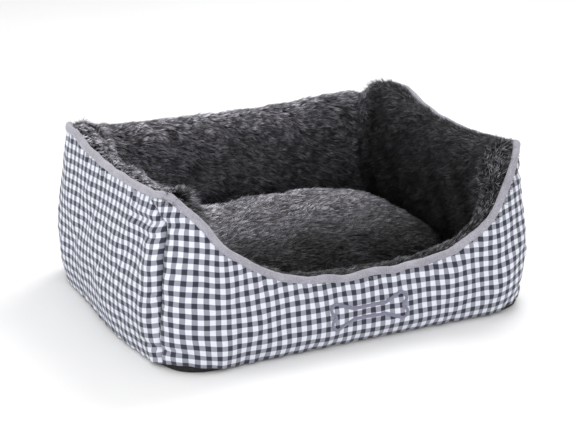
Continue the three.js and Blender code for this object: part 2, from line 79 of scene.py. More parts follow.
# painted light and shade on each wall's pile: lightness, then how the painted shade runs up the
# wall: axis, from, to, lightness there and there
FUR_PAINTED_LIGHT = {
    "front": (0.85, 2, 0.05, 0.15, 0.5, 1.2),
    "right": (0.44, 2, 0.07, 0.25, 0.22, 1.25),
    "back": (2.0, 2, 0.08, 0.22, 0.40, 1.30),
    "left": (2.5, 2, 0.07, 0.23, 0.30, 1.15),
}
# how far the check tilts on each panel
CHECK_TILT = {"front": 0.0, "right": 0.05, "back": 0.02, "left": -0.05}

# rim: how sharply the front dip ends on each side, then where the other dips start and end
FRONT_CURVE_LEFT = (2.8, 1.2)
FRONT_CURVE_RIGHT = (4.2, 1.6)
DIP_REACH = 0.985
SIDE_DIP_CENTRE = -0.030
SIDE_DIP_REACH_BACK = 0.165
SIDE_DIP_REACH_FRONT = 0.210
BACK_FALL_START = 0.120
BACK_FALL_SPAN = 0.100
LEFT_BACK_LEAN = 0.0065

# outer cloth
PANEL_TOP_GAP = 0.004
SKIN_START = 0.0102
SEAM_LEAN_START = 0.82
SEAM_LEAN = 0.054


# --- Settings -----------------------------------------------------------------------------------


class BedSizes(PropertyGroup):
    width: FloatProperty(
        name="Width", description="Shell width at its fullest", default=0.6, unit="LENGTH"
    )
    depth: FloatProperty(
        name="Depth", description="Shell depth at its fullest", default=0.5, unit="LENGTH"
    )
    corner: FloatProperty(
        name="Corner radius", description="Plan radius of the corners", default=0.095, unit="LENGTH"
    )
    rim: FloatProperty(
        name="Rim height", description="Piping height at the corners", default=0.248, unit="LENGTH"
    )
    front_dip: FloatProperty(
        name="Front dip", description="How far the entrance drops", default=0.148, unit="LENGTH"
    )
    left_dip: FloatProperty(
        name="Left dip", description="How far the left rim sags", default=0.018, unit="LENGTH"
    )
    right_dip: FloatProperty(
        name="Right dip", description="How far the right rim sags", default=0.026, unit="LENGTH"
    )
    back_dip: FloatProperty(
        name="Back dip", description="How far the back rim sags", default=0.035, unit="LENGTH"
    )
    back_fall: FloatProperty(
        name="Back fall", description="Drop of the right back corner", default=0.011, unit="LENGTH"
    )
    back_roll: FloatProperty(
        name="Back roll", description="Extra rise of the back bolster", default=0.018, unit="LENGTH"
    )
    lean: FloatProperty(
        name="Rim inset", description="How far the rim leans in", default=0.016, unit="LENGTH"
    )
    foot: FloatProperty(
        name="Foot inset", description="How far the hem tucks under", default=0.0075, unit="LENGTH"
    )
    piping: FloatProperty(
        name="Piping radius", description="Radius of the corded edge", default=0.0056, unit="LENGTH"
    )
    check: FloatProperty(
        name="Check repeat", description="One light and one dark stripe",
        default=0.015, unit="LENGTH",
    )
    pile: FloatProperty(
        name="Pile length", description="Length of the fur", default=0.0155, unit="LENGTH"
    )
    wall_hairs: IntProperty(
        name="Hairs per wall", description="Locks of pile on each lining", default=32500
    )
    cushion_hairs: IntProperty(
        name="Hairs per cushion half", description="Locks of pile on each half", default=32500
    )


class BedColours(PropertyGroup):
    white: FloatVectorProperty(
        name="Cloth white", description="Light yarn",
        subtype="COLOR", default=(0.71, 0.73, 0.80),
    )
    grey: FloatVectorProperty(
        name="Cloth grey", description="Crossed yarns",
        subtype="COLOR", default=(0.27, 0.28, 0.335),
    )
    slate: FloatVectorProperty(
        name="Cloth slate", description="Dark yarn",
        subtype="COLOR", default=(0.028, 0.030, 0.046),
    )
    piping: FloatVectorProperty(
        name="Piping", description="Brushed piping cloth",
        subtype="COLOR", default=(0.36, 0.35, 0.40),
    )
    # near-black: partly the fur's dark base, partly painted shade deep in the pile
    root: FloatVectorProperty(
        name="Pile root", description="Base of the fur",
        subtype="COLOR", default=(0.008, 0.008, 0.009),
    )
    middle: FloatVectorProperty(
        name="Pile middle", description="Fur halfway up",
        subtype="COLOR", default=(0.030, 0.029, 0.033),
    )
    tip: FloatVectorProperty(
        name="Pile tip", description="Frosted fur ends",
        subtype="COLOR", default=(0.26, 0.25, 0.275),
    )
    black: FloatVectorProperty(
        name="Black cloth", description="Non-slip cloth",
        subtype="COLOR", default=(0.009, 0.009, 0.010),
    )
    thread: FloatVectorProperty(
        name="Thread", description="Embroidery thread",
        subtype="COLOR", default=(0.21, 0.205, 0.29),
    )


def sizes():
    return bpy.context.scene.bed_sizes


def colours():
    return bpy.context.scene.bed_colours


# --- Plan outline and rim -----------------------------------------------------------------------


def outline(s):
    """Plan point and outward direction at a distance along the outline from the middle front."""
    z = sizes()
    a = z.width / 2 - z.corner
    b = z.depth / 2 - z.corner
    arc = z.corner * math.pi / 2
    lengths = [a, arc, 2 * b, arc, 2 * a, arc, 2 * b, arc, a]
    total = sum(lengths)
    s = np.mod(s, total)
    x, y, turn = np.zeros_like(s), np.zeros_like(s), np.zeros_like(s)
    runs = [(0, -z.depth / 2, 1, 0), None, (z.width / 2, -b, 0, 1), None,
            (a, z.depth / 2, -1, 0), None, (-z.width / 2, b, 0, -1), None,
            (-a, -z.depth / 2, 1, 0)]
    centres = [(a, -b), (a, b), (-a, b), (-a, -b)]
    start = 0.0
    for i, length in enumerate(lengths):
        here = (s >= start) & (s <= start + length)
        t = s[here] - start
        if i % 2:
            cx, cy = centres[i // 2]
            angle = -math.pi / 2 + (i // 2) * math.pi / 2 + t / z.corner
            x[here] = cx + z.corner * np.cos(angle)
            y[here] = cy + z.corner * np.sin(angle)
            turn[here] = angle
        else:
            px, py, dx, dy = runs[i]
            x[here] = px + dx * t
            y[here] = py + dy * t
            turn[here] = -math.pi / 2 + (i // 2) * math.pi / 2
        start += length
    return x, y, np.cos(turn), np.sin(turn)


def outline_length():
    z = sizes()
    return 2 * (z.width + z.depth) - 8 * z.corner + 2 * math.pi * z.corner


def rim_height(x, y):
    """Height of the piping over a plan point: a deep front dip, sagging sides and a lower back."""
    z = sizes()
    across = np.minimum(1, np.abs(x) / (z.width / 2 * DIP_REACH))
    spread = np.where(x < 0, FRONT_CURVE_LEFT[0], FRONT_CURVE_RIGHT[0])
    ease = np.where(x < 0, FRONT_CURVE_LEFT[1], FRONT_CURVE_RIGHT[1])
    front = z.front_dip * (1 - across**spread) ** ease
    back = z.back_dip * (1 - across**8)
    end = np.where(y < 0, front, back)
    off = y - SIDE_DIP_CENTRE
    reach = np.where(off > 0, SIDE_DIP_REACH_BACK, SIDE_DIP_REACH_FRONT)
    fall = np.minimum(1, np.abs(off) / reach) ** np.where(off > 0, 2.5, 1.7)
    side = np.where(x < 0, z.left_dip, z.right_dip) * (1 - fall) * across**8
    behind = np.clip((y - BACK_FALL_START) / BACK_FALL_SPAN, 0, 1)
    behind = behind * behind * (3 - 2 * behind)
    tilt = 0.5 + x / z.width
    return z.rim - np.cbrt(end**3 + side**3) - z.back_fall * behind * tilt


def rim_lean(s):
    """How far the rim leans in, a little more at the back left corner."""
    _, _, nx, ny = outline(s)
    corner = np.clip(-2 * nx * ny, 0, 1) * (nx < 0)
    return sizes().lean + LEFT_BACK_LEAN * corner


def waves(s, h, seed, size, count=9):
    """Soft random swell over a surface, made of a few sines of about one wavelength."""
    rng = np.random.default_rng(seed)
    total = outline_length()
    out = np.zeros_like(s)
    for _ in range(count):
        turns = max(1, round(total / (size * rng.uniform(0.7, 1.6))))
        rise = 2 * math.pi / (size * rng.uniform(0.8, 2.0)) * rng.choice([-1, 1])
        out += np.sin(2 * math.pi * turns * s / total + rise * h + rng.uniform(0, 6.28))
    return out / math.sqrt(count)


def near(distance, width):
    return np.exp(-((distance / width) ** 2))


def seam_place(v, seam):
    """Where a corner seam lies at a share of the wall's height: the front ones lean to the side."""
    away = np.clip((v - SEAM_LEAN_START) / 0.18, 0, 1)
    shift = SEAM_LEAN * away**1.3
    if abs(abs(seam) - FRONT_SEAM) < 0.001:
        return seam + math.copysign(1, seam) * shift
    return seam + 0 * v


def seam_distance(s, v):
    """Signed distance to the nearest corner seam, along the outline."""
    total = outline_length()
    best = np.full_like(s, 9.0)
    for seam in (FRONT_SEAM, BACK_SEAM, -BACK_SEAM, -FRONT_SEAM):
        gap = np.mod(s - seam_place(v, seam) + total / 2, total) - total / 2
        best = np.where(np.abs(gap) < np.abs(best), gap, best)
    return best


# --- Mesh helpers -------------------------------------------------------------------------------


def deselect():
    bpy.ops.object.select_all(action="DESELECT")


def points_of(obj):
    co = np.empty(len(obj.data.vertices) * 3)
    obj.data.vertices.foreach_get("co", co)
    return co.reshape(-1, 3)


def put_points(obj, points):
    obj.data.vertices.foreach_set("co", np.ascontiguousarray(points, float).ravel())
    obj.data.update()


def use(obj):
    deselect()
    obj.select_set(True)
    bpy.context.view_layer.objects.active = obj


def apply_modifier(obj, kind, **settings):
    use(obj)
    mod = obj.modifiers.new(kind.lower(), kind)
    for key, value in settings.items():
        setattr(mod, key, value)
    bpy.ops.object.modifier_apply(modifier=mod.name)


def edit(obj, *steps):
    """Runs edit-mode operators on the whole mesh."""
    use(obj)
    bpy.ops.object.mode_set(mode="EDIT")
    bpy.ops.mesh.select_all(action="SELECT")
    for step in steps:
        step()
    bpy.ops.object.mode_set(mode="OBJECT")


def smooth(obj):
    use(obj)
    bpy.ops.object.shade_smooth()


def cloth_grid(name, across, up, place, measure=None):
    """A grid whose points are moved to place(a, v), with its flat cloth layout as a UV map."""
    deselect()
    bpy.ops.mesh.primitive_grid_add(x_subdivisions=across, y_subdivisions=up, size=2)
    obj = bpy.context.object
    obj.name = name
    obj.data.name = name
    flat = points_of(obj)
    a, v = (flat[:, 0] + 1) / 2, (flat[:, 1] + 1) / 2
    put_points(obj, place(a, v))
    if measure is not None:
        lay = obj.data.uv_layers.active
        lay.name = "cloth"
        loops = np.empty(len(obj.data.loops), int)
        obj.data.loops.foreach_get("vertex_index", loops)
        uv = np.stack(measure(a, v), -1)[loops]
        lay.data.foreach_set("uv", uv.ravel())
    return obj


def finish_piece(obj, body, slot, material, *nodes):
    obj.data.materials.clear()
    obj.data.materials.append(material)
    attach(obj, body)
    if nodes:
        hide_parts(*nodes)


def piece_from(name, points, faces):
    mesh = bpy.data.meshes.new(name)
    mesh.from_pydata(points, [], faces)
    obj = bpy.data.objects.new(name, mesh)
    bpy.context.collection.objects.link(obj)
    return obj


def loops_solid(name, loops, first, last):
    """A closed form skinned over level loops, with a pole at each end."""
    count = len(loops[0])
    points = [tuple(p) for loop in loops for p in loop] + [first, last]
    faces = []
    for i in range(len(loops) - 1):
        for j in range(count):
            k = (j + 1) % count
            faces.append((i * count + j, i * count + k, (i + 1) * count + k, (i + 1) * count + j))
    pole = len(points) - 2
    end = (len(loops) - 1) * count
    for j in range(count):
        k = (j + 1) % count
        faces.append((pole, k, j))
        faces.append((pole + 1, end + j, end + k))
    obj = piece_from(name, points, faces)
    edit(obj, lambda: bpy.ops.mesh.normals_make_consistent(inside=False))
    return obj


# --- Material helpers ---------------------------------------------------------------------------


def new_material(name, colour, rough, sheen=0.0, metal=0.0, specular=0.5):
    mat = bpy.data.materials.new(name)
    mat.use_nodes = True
    tree = mat.node_tree
    shader = tree.nodes["Principled BSDF"]
    shader.inputs["Base Color"].default_value = (*colour, 1)
    shader.inputs["Roughness"].default_value = rough
    shader.inputs["Metallic"].default_value = metal
    shader.inputs["Sheen Weight"].default_value = sheen
    shader.inputs["Sheen Roughness"].default_value = 0.5
    shader.inputs["Specular IOR Level"].default_value = specular
    return mat, tree, shader


def add(tree, kind, settings=None, **inputs):
    """Adds a node; an input given as a socket is linked, and any other is set."""
    node = tree.nodes.new(kind)
    for key, value in (settings or {}).items():
        setattr(node, key, value)
    for key, value in inputs.items():
        spot = node.inputs[int(key[1:]) if key[0] == "i" and key[1:].isdigit() else key]
        if isinstance(value, bpy.types.NodeSocket):
            tree.links.new(value, spot)
        else:
            spot.default_value = value
    return node


def maths(tree, operation, a, b=0.0, c=0.0):
    return add(tree, "ShaderNodeMath", {"operation": operation}, i0=a, i1=b, i2=c).outputs[0]


def noise(tree, vector, scale, detail=3.0, rough=0.55):
    node = add(tree, "ShaderNodeTexNoise", None, Scale=scale, Detail=detail, Roughness=rough)
    tree.links.new(vector, node.inputs["Vector"])
    return node.outputs["Fac"]


def ramp(tree, factor, stops):
    node = add(tree, "ShaderNodeValToRGB", None, Fac=factor)
    steps = node.color_ramp.elements
    for i, (place, colour) in enumerate(stops):
        stop = steps[i] if i < len(steps) else steps.new(place)
        stop.position = place
        stop.color = (*colour, 1)
    return node.outputs["Color"]


def map_range(tree, value, start, end, low=0.0, high=1.0, kind="LINEAR"):
    node = add(tree, "ShaderNodeMapRange", {"interpolation_type": kind}, Value=value)
    for key, number in (("From Min", start), ("From Max", end), ("To Min", low), ("To Max", high)):
        node.inputs[key].default_value = number
    return node.outputs["Result"]


def shade(tree, factor, low, high):
    """A grey multiplier that runs from low to high with the factor."""
    return map_range(tree, factor, 0.0, 1.0, low, high)


def scaled(tree, vector, factor):
    """A colour or a vector times a number."""
    node = add(tree, "ShaderNodeVectorMath", {"operation": "SCALE"}, i0=vector, Scale=factor)
    return node.outputs[0]


def plain_colour(tree, colour):
    node = tree.nodes.new("ShaderNodeRGB")
    node.outputs[0].default_value = (*colour, 1)
    return node.outputs[0]


def bump(tree, shader, height, strength, distance):
    node = add(tree, "ShaderNodeBump", None, Strength=strength, Distance=distance, Height=height)
    tree.links.new(node.outputs["Normal"], shader.inputs["Normal"])


def object_place(tree):
    return tree.nodes.new("ShaderNodeTexCoord").outputs["Object"]


def made(name):
    return bpy.data.materials.get(name)


YARN = 0.0009


def gingham_cloth():
    """Two-colour check that follows each panel's own cloth layout."""
    if made("gingham cloth"):
        return made("gingham cloth")
    c, z = colours(), sizes()
    mat, tree, shader = new_material("gingham cloth", c.white, 0.82, sheen=0.12, specular=0.3)
    place = object_place(tree)
    uv = add(tree, "ShaderNodeUVMap", {"uv_map": "cloth"}).outputs["UV"]
    wander = add(tree, "ShaderNodeTexNoise", None, Scale=14.0, Detail=1.0, Vector=place)
    shift = add(
        tree, "ShaderNodeVectorMath", {"operation": "SUBTRACT"},
        i0=wander.outputs["Color"], i1=(0.5, 0.5, 0.5),
    )
    drift = scaled(tree, shift.outputs[0], 0.006)
    drawn = add(tree, "ShaderNodeVectorMath", {"operation": "ADD"}, i0=uv, i1=drift)
    split = add(tree, "ShaderNodeSeparateXYZ", None, i0=drawn.outputs[0])
    bands = []
    for axis in (0, 1):
        turn = maths(tree, "PINGPONG", maths(tree, "DIVIDE", split.outputs[axis], z.check), 0.5)
        bands.append(map_range(tree, turn, 0.235, 0.275, kind="SMOOTHSTEP"))
    both = maths(tree, "MULTIPLY", maths(tree, "ADD", bands[0], bands[1]), 0.5)
    colour = ramp(tree, both, [(0.0, c.white), (0.5, c.grey), (1.0, c.slate)])
    turns = 2 * math.pi / YARN
    yarn = maths(tree, "MULTIPLY", split.outputs[0], turns)
    weft = maths(tree, "MULTIPLY", split.outputs[1], turns)
    weave = maths(tree, "MULTIPLY", maths(tree, "SINE", yarn), maths(tree, "SINE", weft))
    slub = noise(tree, place, 900.0, 2.0)
    fade = noise(tree, place, 9.0, 2.0)
    level = maths(tree, "MULTIPLY", shade(tree, slub, 0.90, 1.08), shade(tree, fade, 0.95, 1.05))
    tree.links.new(scaled(tree, colour, level), shader.inputs["Base Color"])
    tree.links.new(shade(tree, slub, 0.74, 0.9), shader.inputs["Roughness"])
    bump(tree, shader, maths(tree, "ADD", weave, slub), 0.25, 0.00025)
    return mat


def brushed_piping_cloth():
    if made("brushed piping cloth"):
        return made("brushed piping cloth")
    c = colours()
    mat, tree, shader = new_material(
        "brushed piping cloth", c.piping, 0.88, sheen=0.35, specular=0.2
    )
    place = object_place(tree)
    nap = noise(tree, place, 520.0, 4.0)
    cloud = noise(tree, place, 45.0, 3.0)
    level = maths(tree, "MULTIPLY", shade(tree, nap, 0.35, 1.55), shade(tree, cloud, 0.78, 1.18))
    colour = ramp(tree, cloud, [(0.3, tuple(0.90 * k for k in c.piping)), (0.7, c.piping)])
    tree.links.new(scaled(tree, colour, level), shader.inputs["Base Color"])
    tree.links.new(shade(tree, nap, 0.8, 0.97), shader.inputs["Roughness"])
    bump(tree, shader, nap, 0.7, 0.0008)
    return mat


def pile_fur(name, painted_lightness, axis=2, start=0.0, end=1.0, low=1.0, high=1.0):
    """Fur locks: dark at the root and frosted at the tip, only some locks frosted strongly. The
    near-black root is partly painted shade deep in the pile, and the lightness and the ramp along
    one axis are painted light and shade.
    """
    if made(name):
        return made(name)
    c = colours()
    mat, tree, shader = new_material(name, c.middle, 0.55, specular=0.3)
    along = add(tree, "ShaderNodeAttribute", {"attribute_name": "along"}).outputs["Fac"]
    tone = add(tree, "ShaderNodeAttribute", {"attribute_name": "tone"}).outputs["Fac"]
    place = object_place(tree)
    split = add(tree, "ShaderNodeSeparateXYZ", None, i0=place)
    # painted light and shade: the fur runs from the low to the high level along one axis, darker
    # towards the bottom of the walls and the front of the cushion
    spread = map_range(tree, split.outputs[axis], start, end, low, high)
    # the middle and tip colours are scaled by the wall's painted lightness, lit or shaded per wall
    dull, pale = (tuple(painted_lightness * k for k in colour) for colour in (c.middle, c.tip))
    # the near-black root stop is partly the fur's dark base and partly painted shade deep in the
    # pile
    base = ramp(tree, along, [(0.0, c.root), (0.5, dull), (1.0, pale)])
    frost = maths(tree, "POWER", tone, 2.6)
    patch = maths(tree, "MULTIPLY", noise(tree, place, 20.0, 3.0), noise(tree, place, 46.0, 2.0))
    level = maths(tree, "MULTIPLY", shade(tree, frost, 0.24, 3.9), shade(tree, patch, 0.35, 2.9))
    level = maths(tree, "MULTIPLY", level, spread)
    tree.links.new(scaled(tree, base, level), shader.inputs["Base Color"])
    tree.links.new(shade(tree, tone, 0.45, 0.7), shader.inputs["Roughness"])
    return mat


def pile_backing():
    """Knitted ground that the fur grows from."""
    if made("pile backing"):
        return made("pile backing")
    c = colours()
    mat, tree, shader = new_material("pile backing", c.root, 1.0, specular=0.1)
    place = object_place(tree)
    knit = noise(tree, place, 700.0, 3.0)
    colour = ramp(tree, knit, [(0.35, tuple(0.5 * k for k in c.root)), (0.75, c.middle)])
    tree.links.new(colour, shader.inputs["Base Color"])
    bump(tree, shader, knit, 0.6, 0.001)
    return mat


def non_slip_cloth():
    """Black coated cloth with small grip dots."""
    if made("non-slip cloth"):
        return made("non-slip cloth")
    c = colours()
    mat, tree, shader = new_material("non-slip cloth", c.black, 0.7, specular=0.35)
    place = object_place(tree)
    grain = noise(tree, place, 800.0, 3.0)
    dots = add(tree, "ShaderNodeTexVoronoi", None, Scale=170.0, Randomness=0.0, Vector=place)
    dot = map_range(tree, dots.outputs["Distance"], 0.22, 0.34, 1.0, 0.0, "SMOOTHSTEP")
    dull, pale = (tuple(part * k for k in c.black) for part in (0.6, 2.2))
    colour = ramp(tree, grain, [(0.3, dull), (0.8, pale)])
    tree.links.new(colour, shader.inputs["Base Color"])
    tree.links.new(shade(tree, dot, 0.8, 0.45), shader.inputs["Roughness"])
    rough = maths(tree, "ADD", dot, maths(tree, "MULTIPLY", grain, 0.3))
    bump(tree, shader, rough, 0.5, 0.0006)
    return mat


def plain_weave(name, colour, size, rough=0.9, sheen=0.05):
    """Plain woven cloth: crossing threads on the object's own axes."""
    if made(name):
        return made(name)
    mat, tree, shader = new_material(name, colour, rough, sheen=sheen, specular=0.2)
    place = object_place(tree)
    split = add(tree, "ShaderNodeSeparateXYZ", None, i0=place)
    turn = 2 * math.pi / size
    turned = [maths(tree, "MULTIPLY", split.outputs[k], turn) for k in (0, 1, 2)]
    lines = [maths(tree, "SINE", value) for value in turned]
    weave = maths(tree, "MULTIPLY", maths(tree, "ADD", lines[0], lines[2]), lines[1])
    fleck = noise(tree, place, 600.0, 3.0)
    level = shade(tree, fleck, 0.75, 1.25)
    tone = scaled(tree, plain_colour(tree, colour), level)
    tree.links.new(tone, shader.inputs["Base Color"])
    matt = shade(tree, fleck, rough - 0.1, min(1, rough + 0.08))
    tree.links.new(matt, shader.inputs["Roughness"])
    bump(tree, shader, maths(tree, "ADD", weave, fleck), 0.35, 0.0004)
    return mat


def fibre_filling():
    """Loose white polyester fibre."""
    if made("fibre filling"):
        return made("fibre filling")
    mat, tree, shader = new_material(
        "fibre filling", (0.8, 0.8, 0.78), 0.95, sheen=0.3, specular=0.2
    )
    place = object_place(tree)
    wool = noise(tree, place, 120.0, 6.0, 0.7)
    colour = ramp(tree, wool, [(0.3, (0.62, 0.61, 0.58)), (0.7, (0.86, 0.86, 0.84))])
    tree.links.new(colour, shader.inputs["Base Color"])
    bump(tree, shader, wool, 0.8, 0.003)
    return mat


def embroidery_thread():
    """Satin stitches laid side by side, in a slightly shiny thread, with a painted highlight along
    the ridge of each stitch.
    """
    if made("embroidery thread"):
        return made("embroidery thread")
    c = colours()
    mat, tree, shader = new_material("embroidery thread", c.thread, 0.5, sheen=0.2, specular=0.5)
    place = object_place(tree)
    split = add(tree, "ShaderNodeSeparateXYZ", None, i0=place)
    slant = maths(tree, "ADD", split.outputs[0], maths(tree, "MULTIPLY", split.outputs[2], 0.18))
    line = maths(tree, "SINE", maths(tree, "MULTIPLY", slant, 2 * math.pi / 0.0011))
    fleck = noise(tree, place, 400.0, 2.0)
    # painted highlight: each stitch is lighter along its ridge, following the same sine as its bump
    level = maths(tree, "MULTIPLY", shade(tree, line, 0.93, 1.18), shade(tree, fleck, 0.8, 1.2))
    tone = scaled(tree, plain_colour(tree, c.thread), level)
    tree.links.new(tone, shader.inputs["Base Color"])
    tree.links.new(shade(tree, fleck, 0.4, 0.6), shader.inputs["Roughness"])
    bump(tree, shader, line, 0.6, 0.0004)
    return mat


def zip_metal():
    """Dark plated metal with fine wear."""
    if made("zip metal"):
        return made("zip metal")
    mat, tree, shader = new_material("zip metal", (0.08, 0.08, 0.085), 0.35, metal=1.0)
    place = object_place(tree)
    wear = noise(tree, place, 900.0, 4.0)
    colour = ramp(tree, wear, [(0.4, (0.06, 0.06, 0.065)), (0.75, (0.22, 0.22, 0.23))])
    tree.links.new(colour, shader.inputs["Base Color"])
    tree.links.new(shade(tree, wear, 0.25, 0.5), shader.inputs["Roughness"])
    bump(tree, shader, wear, 0.15, 0.0002)
    return mat


# --- Fur ----------------------------------------------------------------------------------------


def scatter(obj, count, rng, keep):
    """Even random points on a mesh, with their normals."""
    mesh = obj.data
    mesh.calc_loop_triangles()
    tris = np.empty(len(mesh.loop_triangles) * 3, int)
    mesh.loop_triangles.foreach_get("vertices", tris)
    tris = tris.reshape(-1, 3)
    co = points_of(obj)
    normals = np.empty(len(co) * 3)
    mesh.vertex_normals.foreach_get("vector", normals)
    normals = normals.reshape(-1, 3)
    corner = co[tris]
    across = np.cross(corner[:, 1] - corner[:, 0], corner[:, 2] - corner[:, 0])
    area = np.linalg.norm(across, axis=1)
    area = area * keep(corner.mean(1), normals[tris].mean(1))
    picked = rng.choice(len(tris), size=count, p=area / area.sum())
    a, b = rng.random(count), rng.random(count)
    flip = a + b > 1
    a[flip], b[flip] = 1 - a[flip], 1 - b[flip]
    weights = np.stack([1 - a - b, a, b], -1)[:, :, None]
    points = (corner[picked] * weights).sum(1)
    facing = (normals[tris[picked]] * weights).sum(1)
    return points, facing / np.linalg.norm(facing, axis=1, keepdims=True)


def unit(vectors):
    return vectors / np.maximum(1e-9, np.linalg.norm(vectors, axis=1, keepdims=True))


CLUMP_LOCKS = 4  # locks that gather into one clump
CLUMP_STRETCH = 0.60  # how far clumps are drawn out along the flow
CLUMP_TONE = 0.72  # share of a lock's tone that its whole clump has
ROOT_DEPTH = 0.0010
LOCK_POINTS = 5


def grow_pile(name, points, normals, flow, length, lift, thick, seed):
    """One mesh of tapered, bent locks that lean along the flow and gather into clumps."""
    rng = np.random.default_rng(seed)
    count = len(points)
    flow = flow + rng.normal(0, 0.28, (count, 3))
    flow = unit(flow - normals * (flow * normals).sum(1, keepdims=True))
    centres = rng.choice(count, size=max(1, count // CLUMP_LOCKS), replace=False)
    run = flow.mean(0) / max(1e-9, np.linalg.norm(flow.mean(0)))
    spaced = points - CLUMP_STRETCH * (points @ run)[:, None] * run
    tree = KDTree(len(centres))
    for i, place in enumerate(spaced[centres]):
        tree.insert(place, i)
    tree.balance()
    nearest = np.array([tree.find(place)[1] for place in spaced])
    reach = length * rng.uniform(0.65, 1.15, count)
    rise = np.clip(lift * rng.uniform(0.6, 1.35, count), 0.08, 0.97)
    out = (normals * rise[:, None] + flow * np.sqrt(1 - rise**2)[:, None]) * reach[:, None]
    tips = points + out
    pull = tips[centres][nearest] - tips
    pull -= 0.8 * (pull @ run)[:, None] * run
    tips = tips + pull * rng.uniform(0.25, 0.65, (count, 1))
    tips[:, 2] -= 0.0012 * (1 - np.abs(normals[:, 2]))
    root = points - normals * ROOT_DEPTH
    bend = root + (tips - root) * 0.42 + normals * (reach * 0.15)[:, None]
    side = unit(np.cross(tips - root, normals + 1e-4))
    other = unit(np.cross(tips - root, side))
    radius = thick * rng.uniform(0.7, 1.3, count)
    verts = np.empty((count, LOCK_POINTS, 3))
    verts[:, 0] = root
    verts[:, 4] = tips
    for j in range(3):
        angle = 2 * math.pi * j / 3
        ring = side * math.cos(angle) + other * math.sin(angle) * 0.7
        verts[:, 1 + j] = bend + ring * radius[:, None]
    one = np.array([(0, 2, 1), (0, 3, 2), (0, 1, 3), (4, 1, 2), (4, 2, 3), (4, 3, 1)])
    lock = verts[0] - verts[0].mean(0)
    if sum(np.dot(lock[a], np.cross(lock[b], lock[c])) for a, b, c in one) < 0:
        one = one[:, ::-1]
    faces = (one[None] + LOCK_POINTS * np.arange(count)[:, None, None]).reshape(-1, 3)
    mesh = bpy.data.meshes.new(name)
    mesh.vertices.add(count * LOCK_POINTS)
    mesh.vertices.foreach_set("co", verts.ravel())
    mesh.loops.add(len(faces) * 3)
    mesh.loops.foreach_set("vertex_index", faces.ravel().astype(np.int32))
    mesh.polygons.add(len(faces))
    mesh.polygons.foreach_set("loop_start", np.arange(0, len(faces) * 3, 3, dtype=np.int32))
    mesh.polygons.foreach_set("use_smooth", np.ones(len(faces), bool))
    along = mesh.attributes.new("along", "FLOAT", "POINT")
    along.data.foreach_set("value", np.tile([0, 0.5, 0.5, 0.5, 1.0], count))
    tone = mesh.attributes.new("tone", "FLOAT", "POINT")
    shared = rng.random(len(centres))[nearest]
    level = CLUMP_TONE * shared + 0.28 * rng.random(count)
    tone.data.foreach_set("value", np.repeat(level, LOCK_POINTS))
    mesh.update()
    mesh.validate()
    obj = bpy.data.objects.new(name, mesh)
    bpy.context.collection.objects.link(obj)
    return obj


# --- Stage --------------------------------------------------------------------------------------


class BED_OT_stage(Operator):
    """Floor, lights and camera"""

    bl_idname = "bed.stage"
    bl_label = "Stage"

    def execute(self, context):
        scene = context.scene
        scene.view_settings.view_transform = "Standard"
        scene.view_settings.look = "None"
        world = bpy.data.worlds.new("studio")
        scene.world = world
        world.use_nodes = True
        world.node_tree.nodes["Background"].inputs["Color"].default_value = (1.0, 1.0, 1.0, 1)
        world.node_tree.nodes["Background"].inputs["Strength"].default_value = 0.80
        self.floor()
        self.light("key", (1.1, 0.7, 2.0), 1.1, 24)
        self.light("front fill", (-0.7, -2.3, 1.1), 1.8, 20)
        self.light("side fill", (-2.1, 0.2, 1.0), 1.5, 14)
        self.camera(scene)
        return {"FINISHED"}

    def floor(self):
        deselect()
        bpy.ops.mesh.primitive_grid_add(x_subdivisions=8, y_subdivisions=8, size=14)
        floor = bpy.context.object
        floor.name = "studio_floor"
        mat, tree, shader = new_material("studio floor", (0.9, 0.9, 0.9), 0.9, specular=0.1)
        speck = noise(tree, object_place(tree), 3.0)
        colour = ramp(tree, speck, [(0.3, (0.90, 0.90, 0.90)), (0.7, (0.92, 0.92, 0.92))])
        tree.links.new(colour, shader.inputs["Base Color"])
        floor.data.materials.append(mat)

    def light(self, name, place, size, power):
        lamp = bpy.data.lights.new(name, "AREA")
        lamp.shape = "DISK"
        lamp.size = size
        lamp.energy = power
        obj = bpy.data.objects.new(name, lamp)
        obj.location = place
        aim = Vector((0, 0, 0.1)) - obj.location
        obj.rotation_euler = aim.to_track_quat("-Z", "Y").to_euler()
        bpy.context.collection.objects.link(obj)

    def camera(self, scene):
        bearing, rise, distance = -0.47818, 0.32775, 2.8607
        target = Vector((0.0202, 0.0378, 0.1))
        back = Vector((
            math.sin(bearing) * math.cos(rise),
            -math.cos(bearing) * math.cos(rise),
            math.sin(rise),
        ))
        lens = bpy.data.cameras.new("camera")
        lens.lens = 117.07
        lens.sensor_width = 36
        lens.clip_end = 50
        camera = bpy.data.objects.new("camera", lens)
        camera.location = target + back * distance
        camera.rotation_euler = (-back).to_track_quat("-Z", "Y").to_euler()
        bpy.context.collection.objects.link(camera)
        scene.camera = camera


# --- Outer panels -------------------------------------------------------------------------------


def cornering(s):
    """0 along the straights, rising smoothly to 1 in the middle of each corner."""
    _, _, nx, ny = outline(s)
    return np.clip(2 * np.abs(nx * ny), 0, 1) ** 1.8


def hem_height(s):
    """The hem sits low along the straights and lifts at the corners."""
    return 0.0030 + 0.0095 * cornering(s)


def bulge(s):
    """How far the stuffed lower wall swells, most on the left side and its front corner."""
    _, y, nx, ny = outline(s)
    left = 0.016 * np.clip(-nx, 0, 1) ** 3 * near(y + 0.07, 0.13)
    right = 0.003 * np.clip(nx, 0, 1) ** 3
    corner = 0.012 * np.clip(2 * nx * ny, 0, 1) * (nx < 0)
    return left + right + corner


# start (distance, height), end (distance, height), depth, half width
CREASES = [
    ((-0.410, 0.194), (-0.287, 0.207), 0.0032, 0.0050),
    ((-0.350, 0.180), (-0.316, 0.190), 0.0018, 0.0045),
    ((-0.330, 0.150), (-0.290, 0.144), 0.0012, 0.0055),
    ((0.405, 0.190), (0.290, 0.204), 0.0030, 0.0048),
]


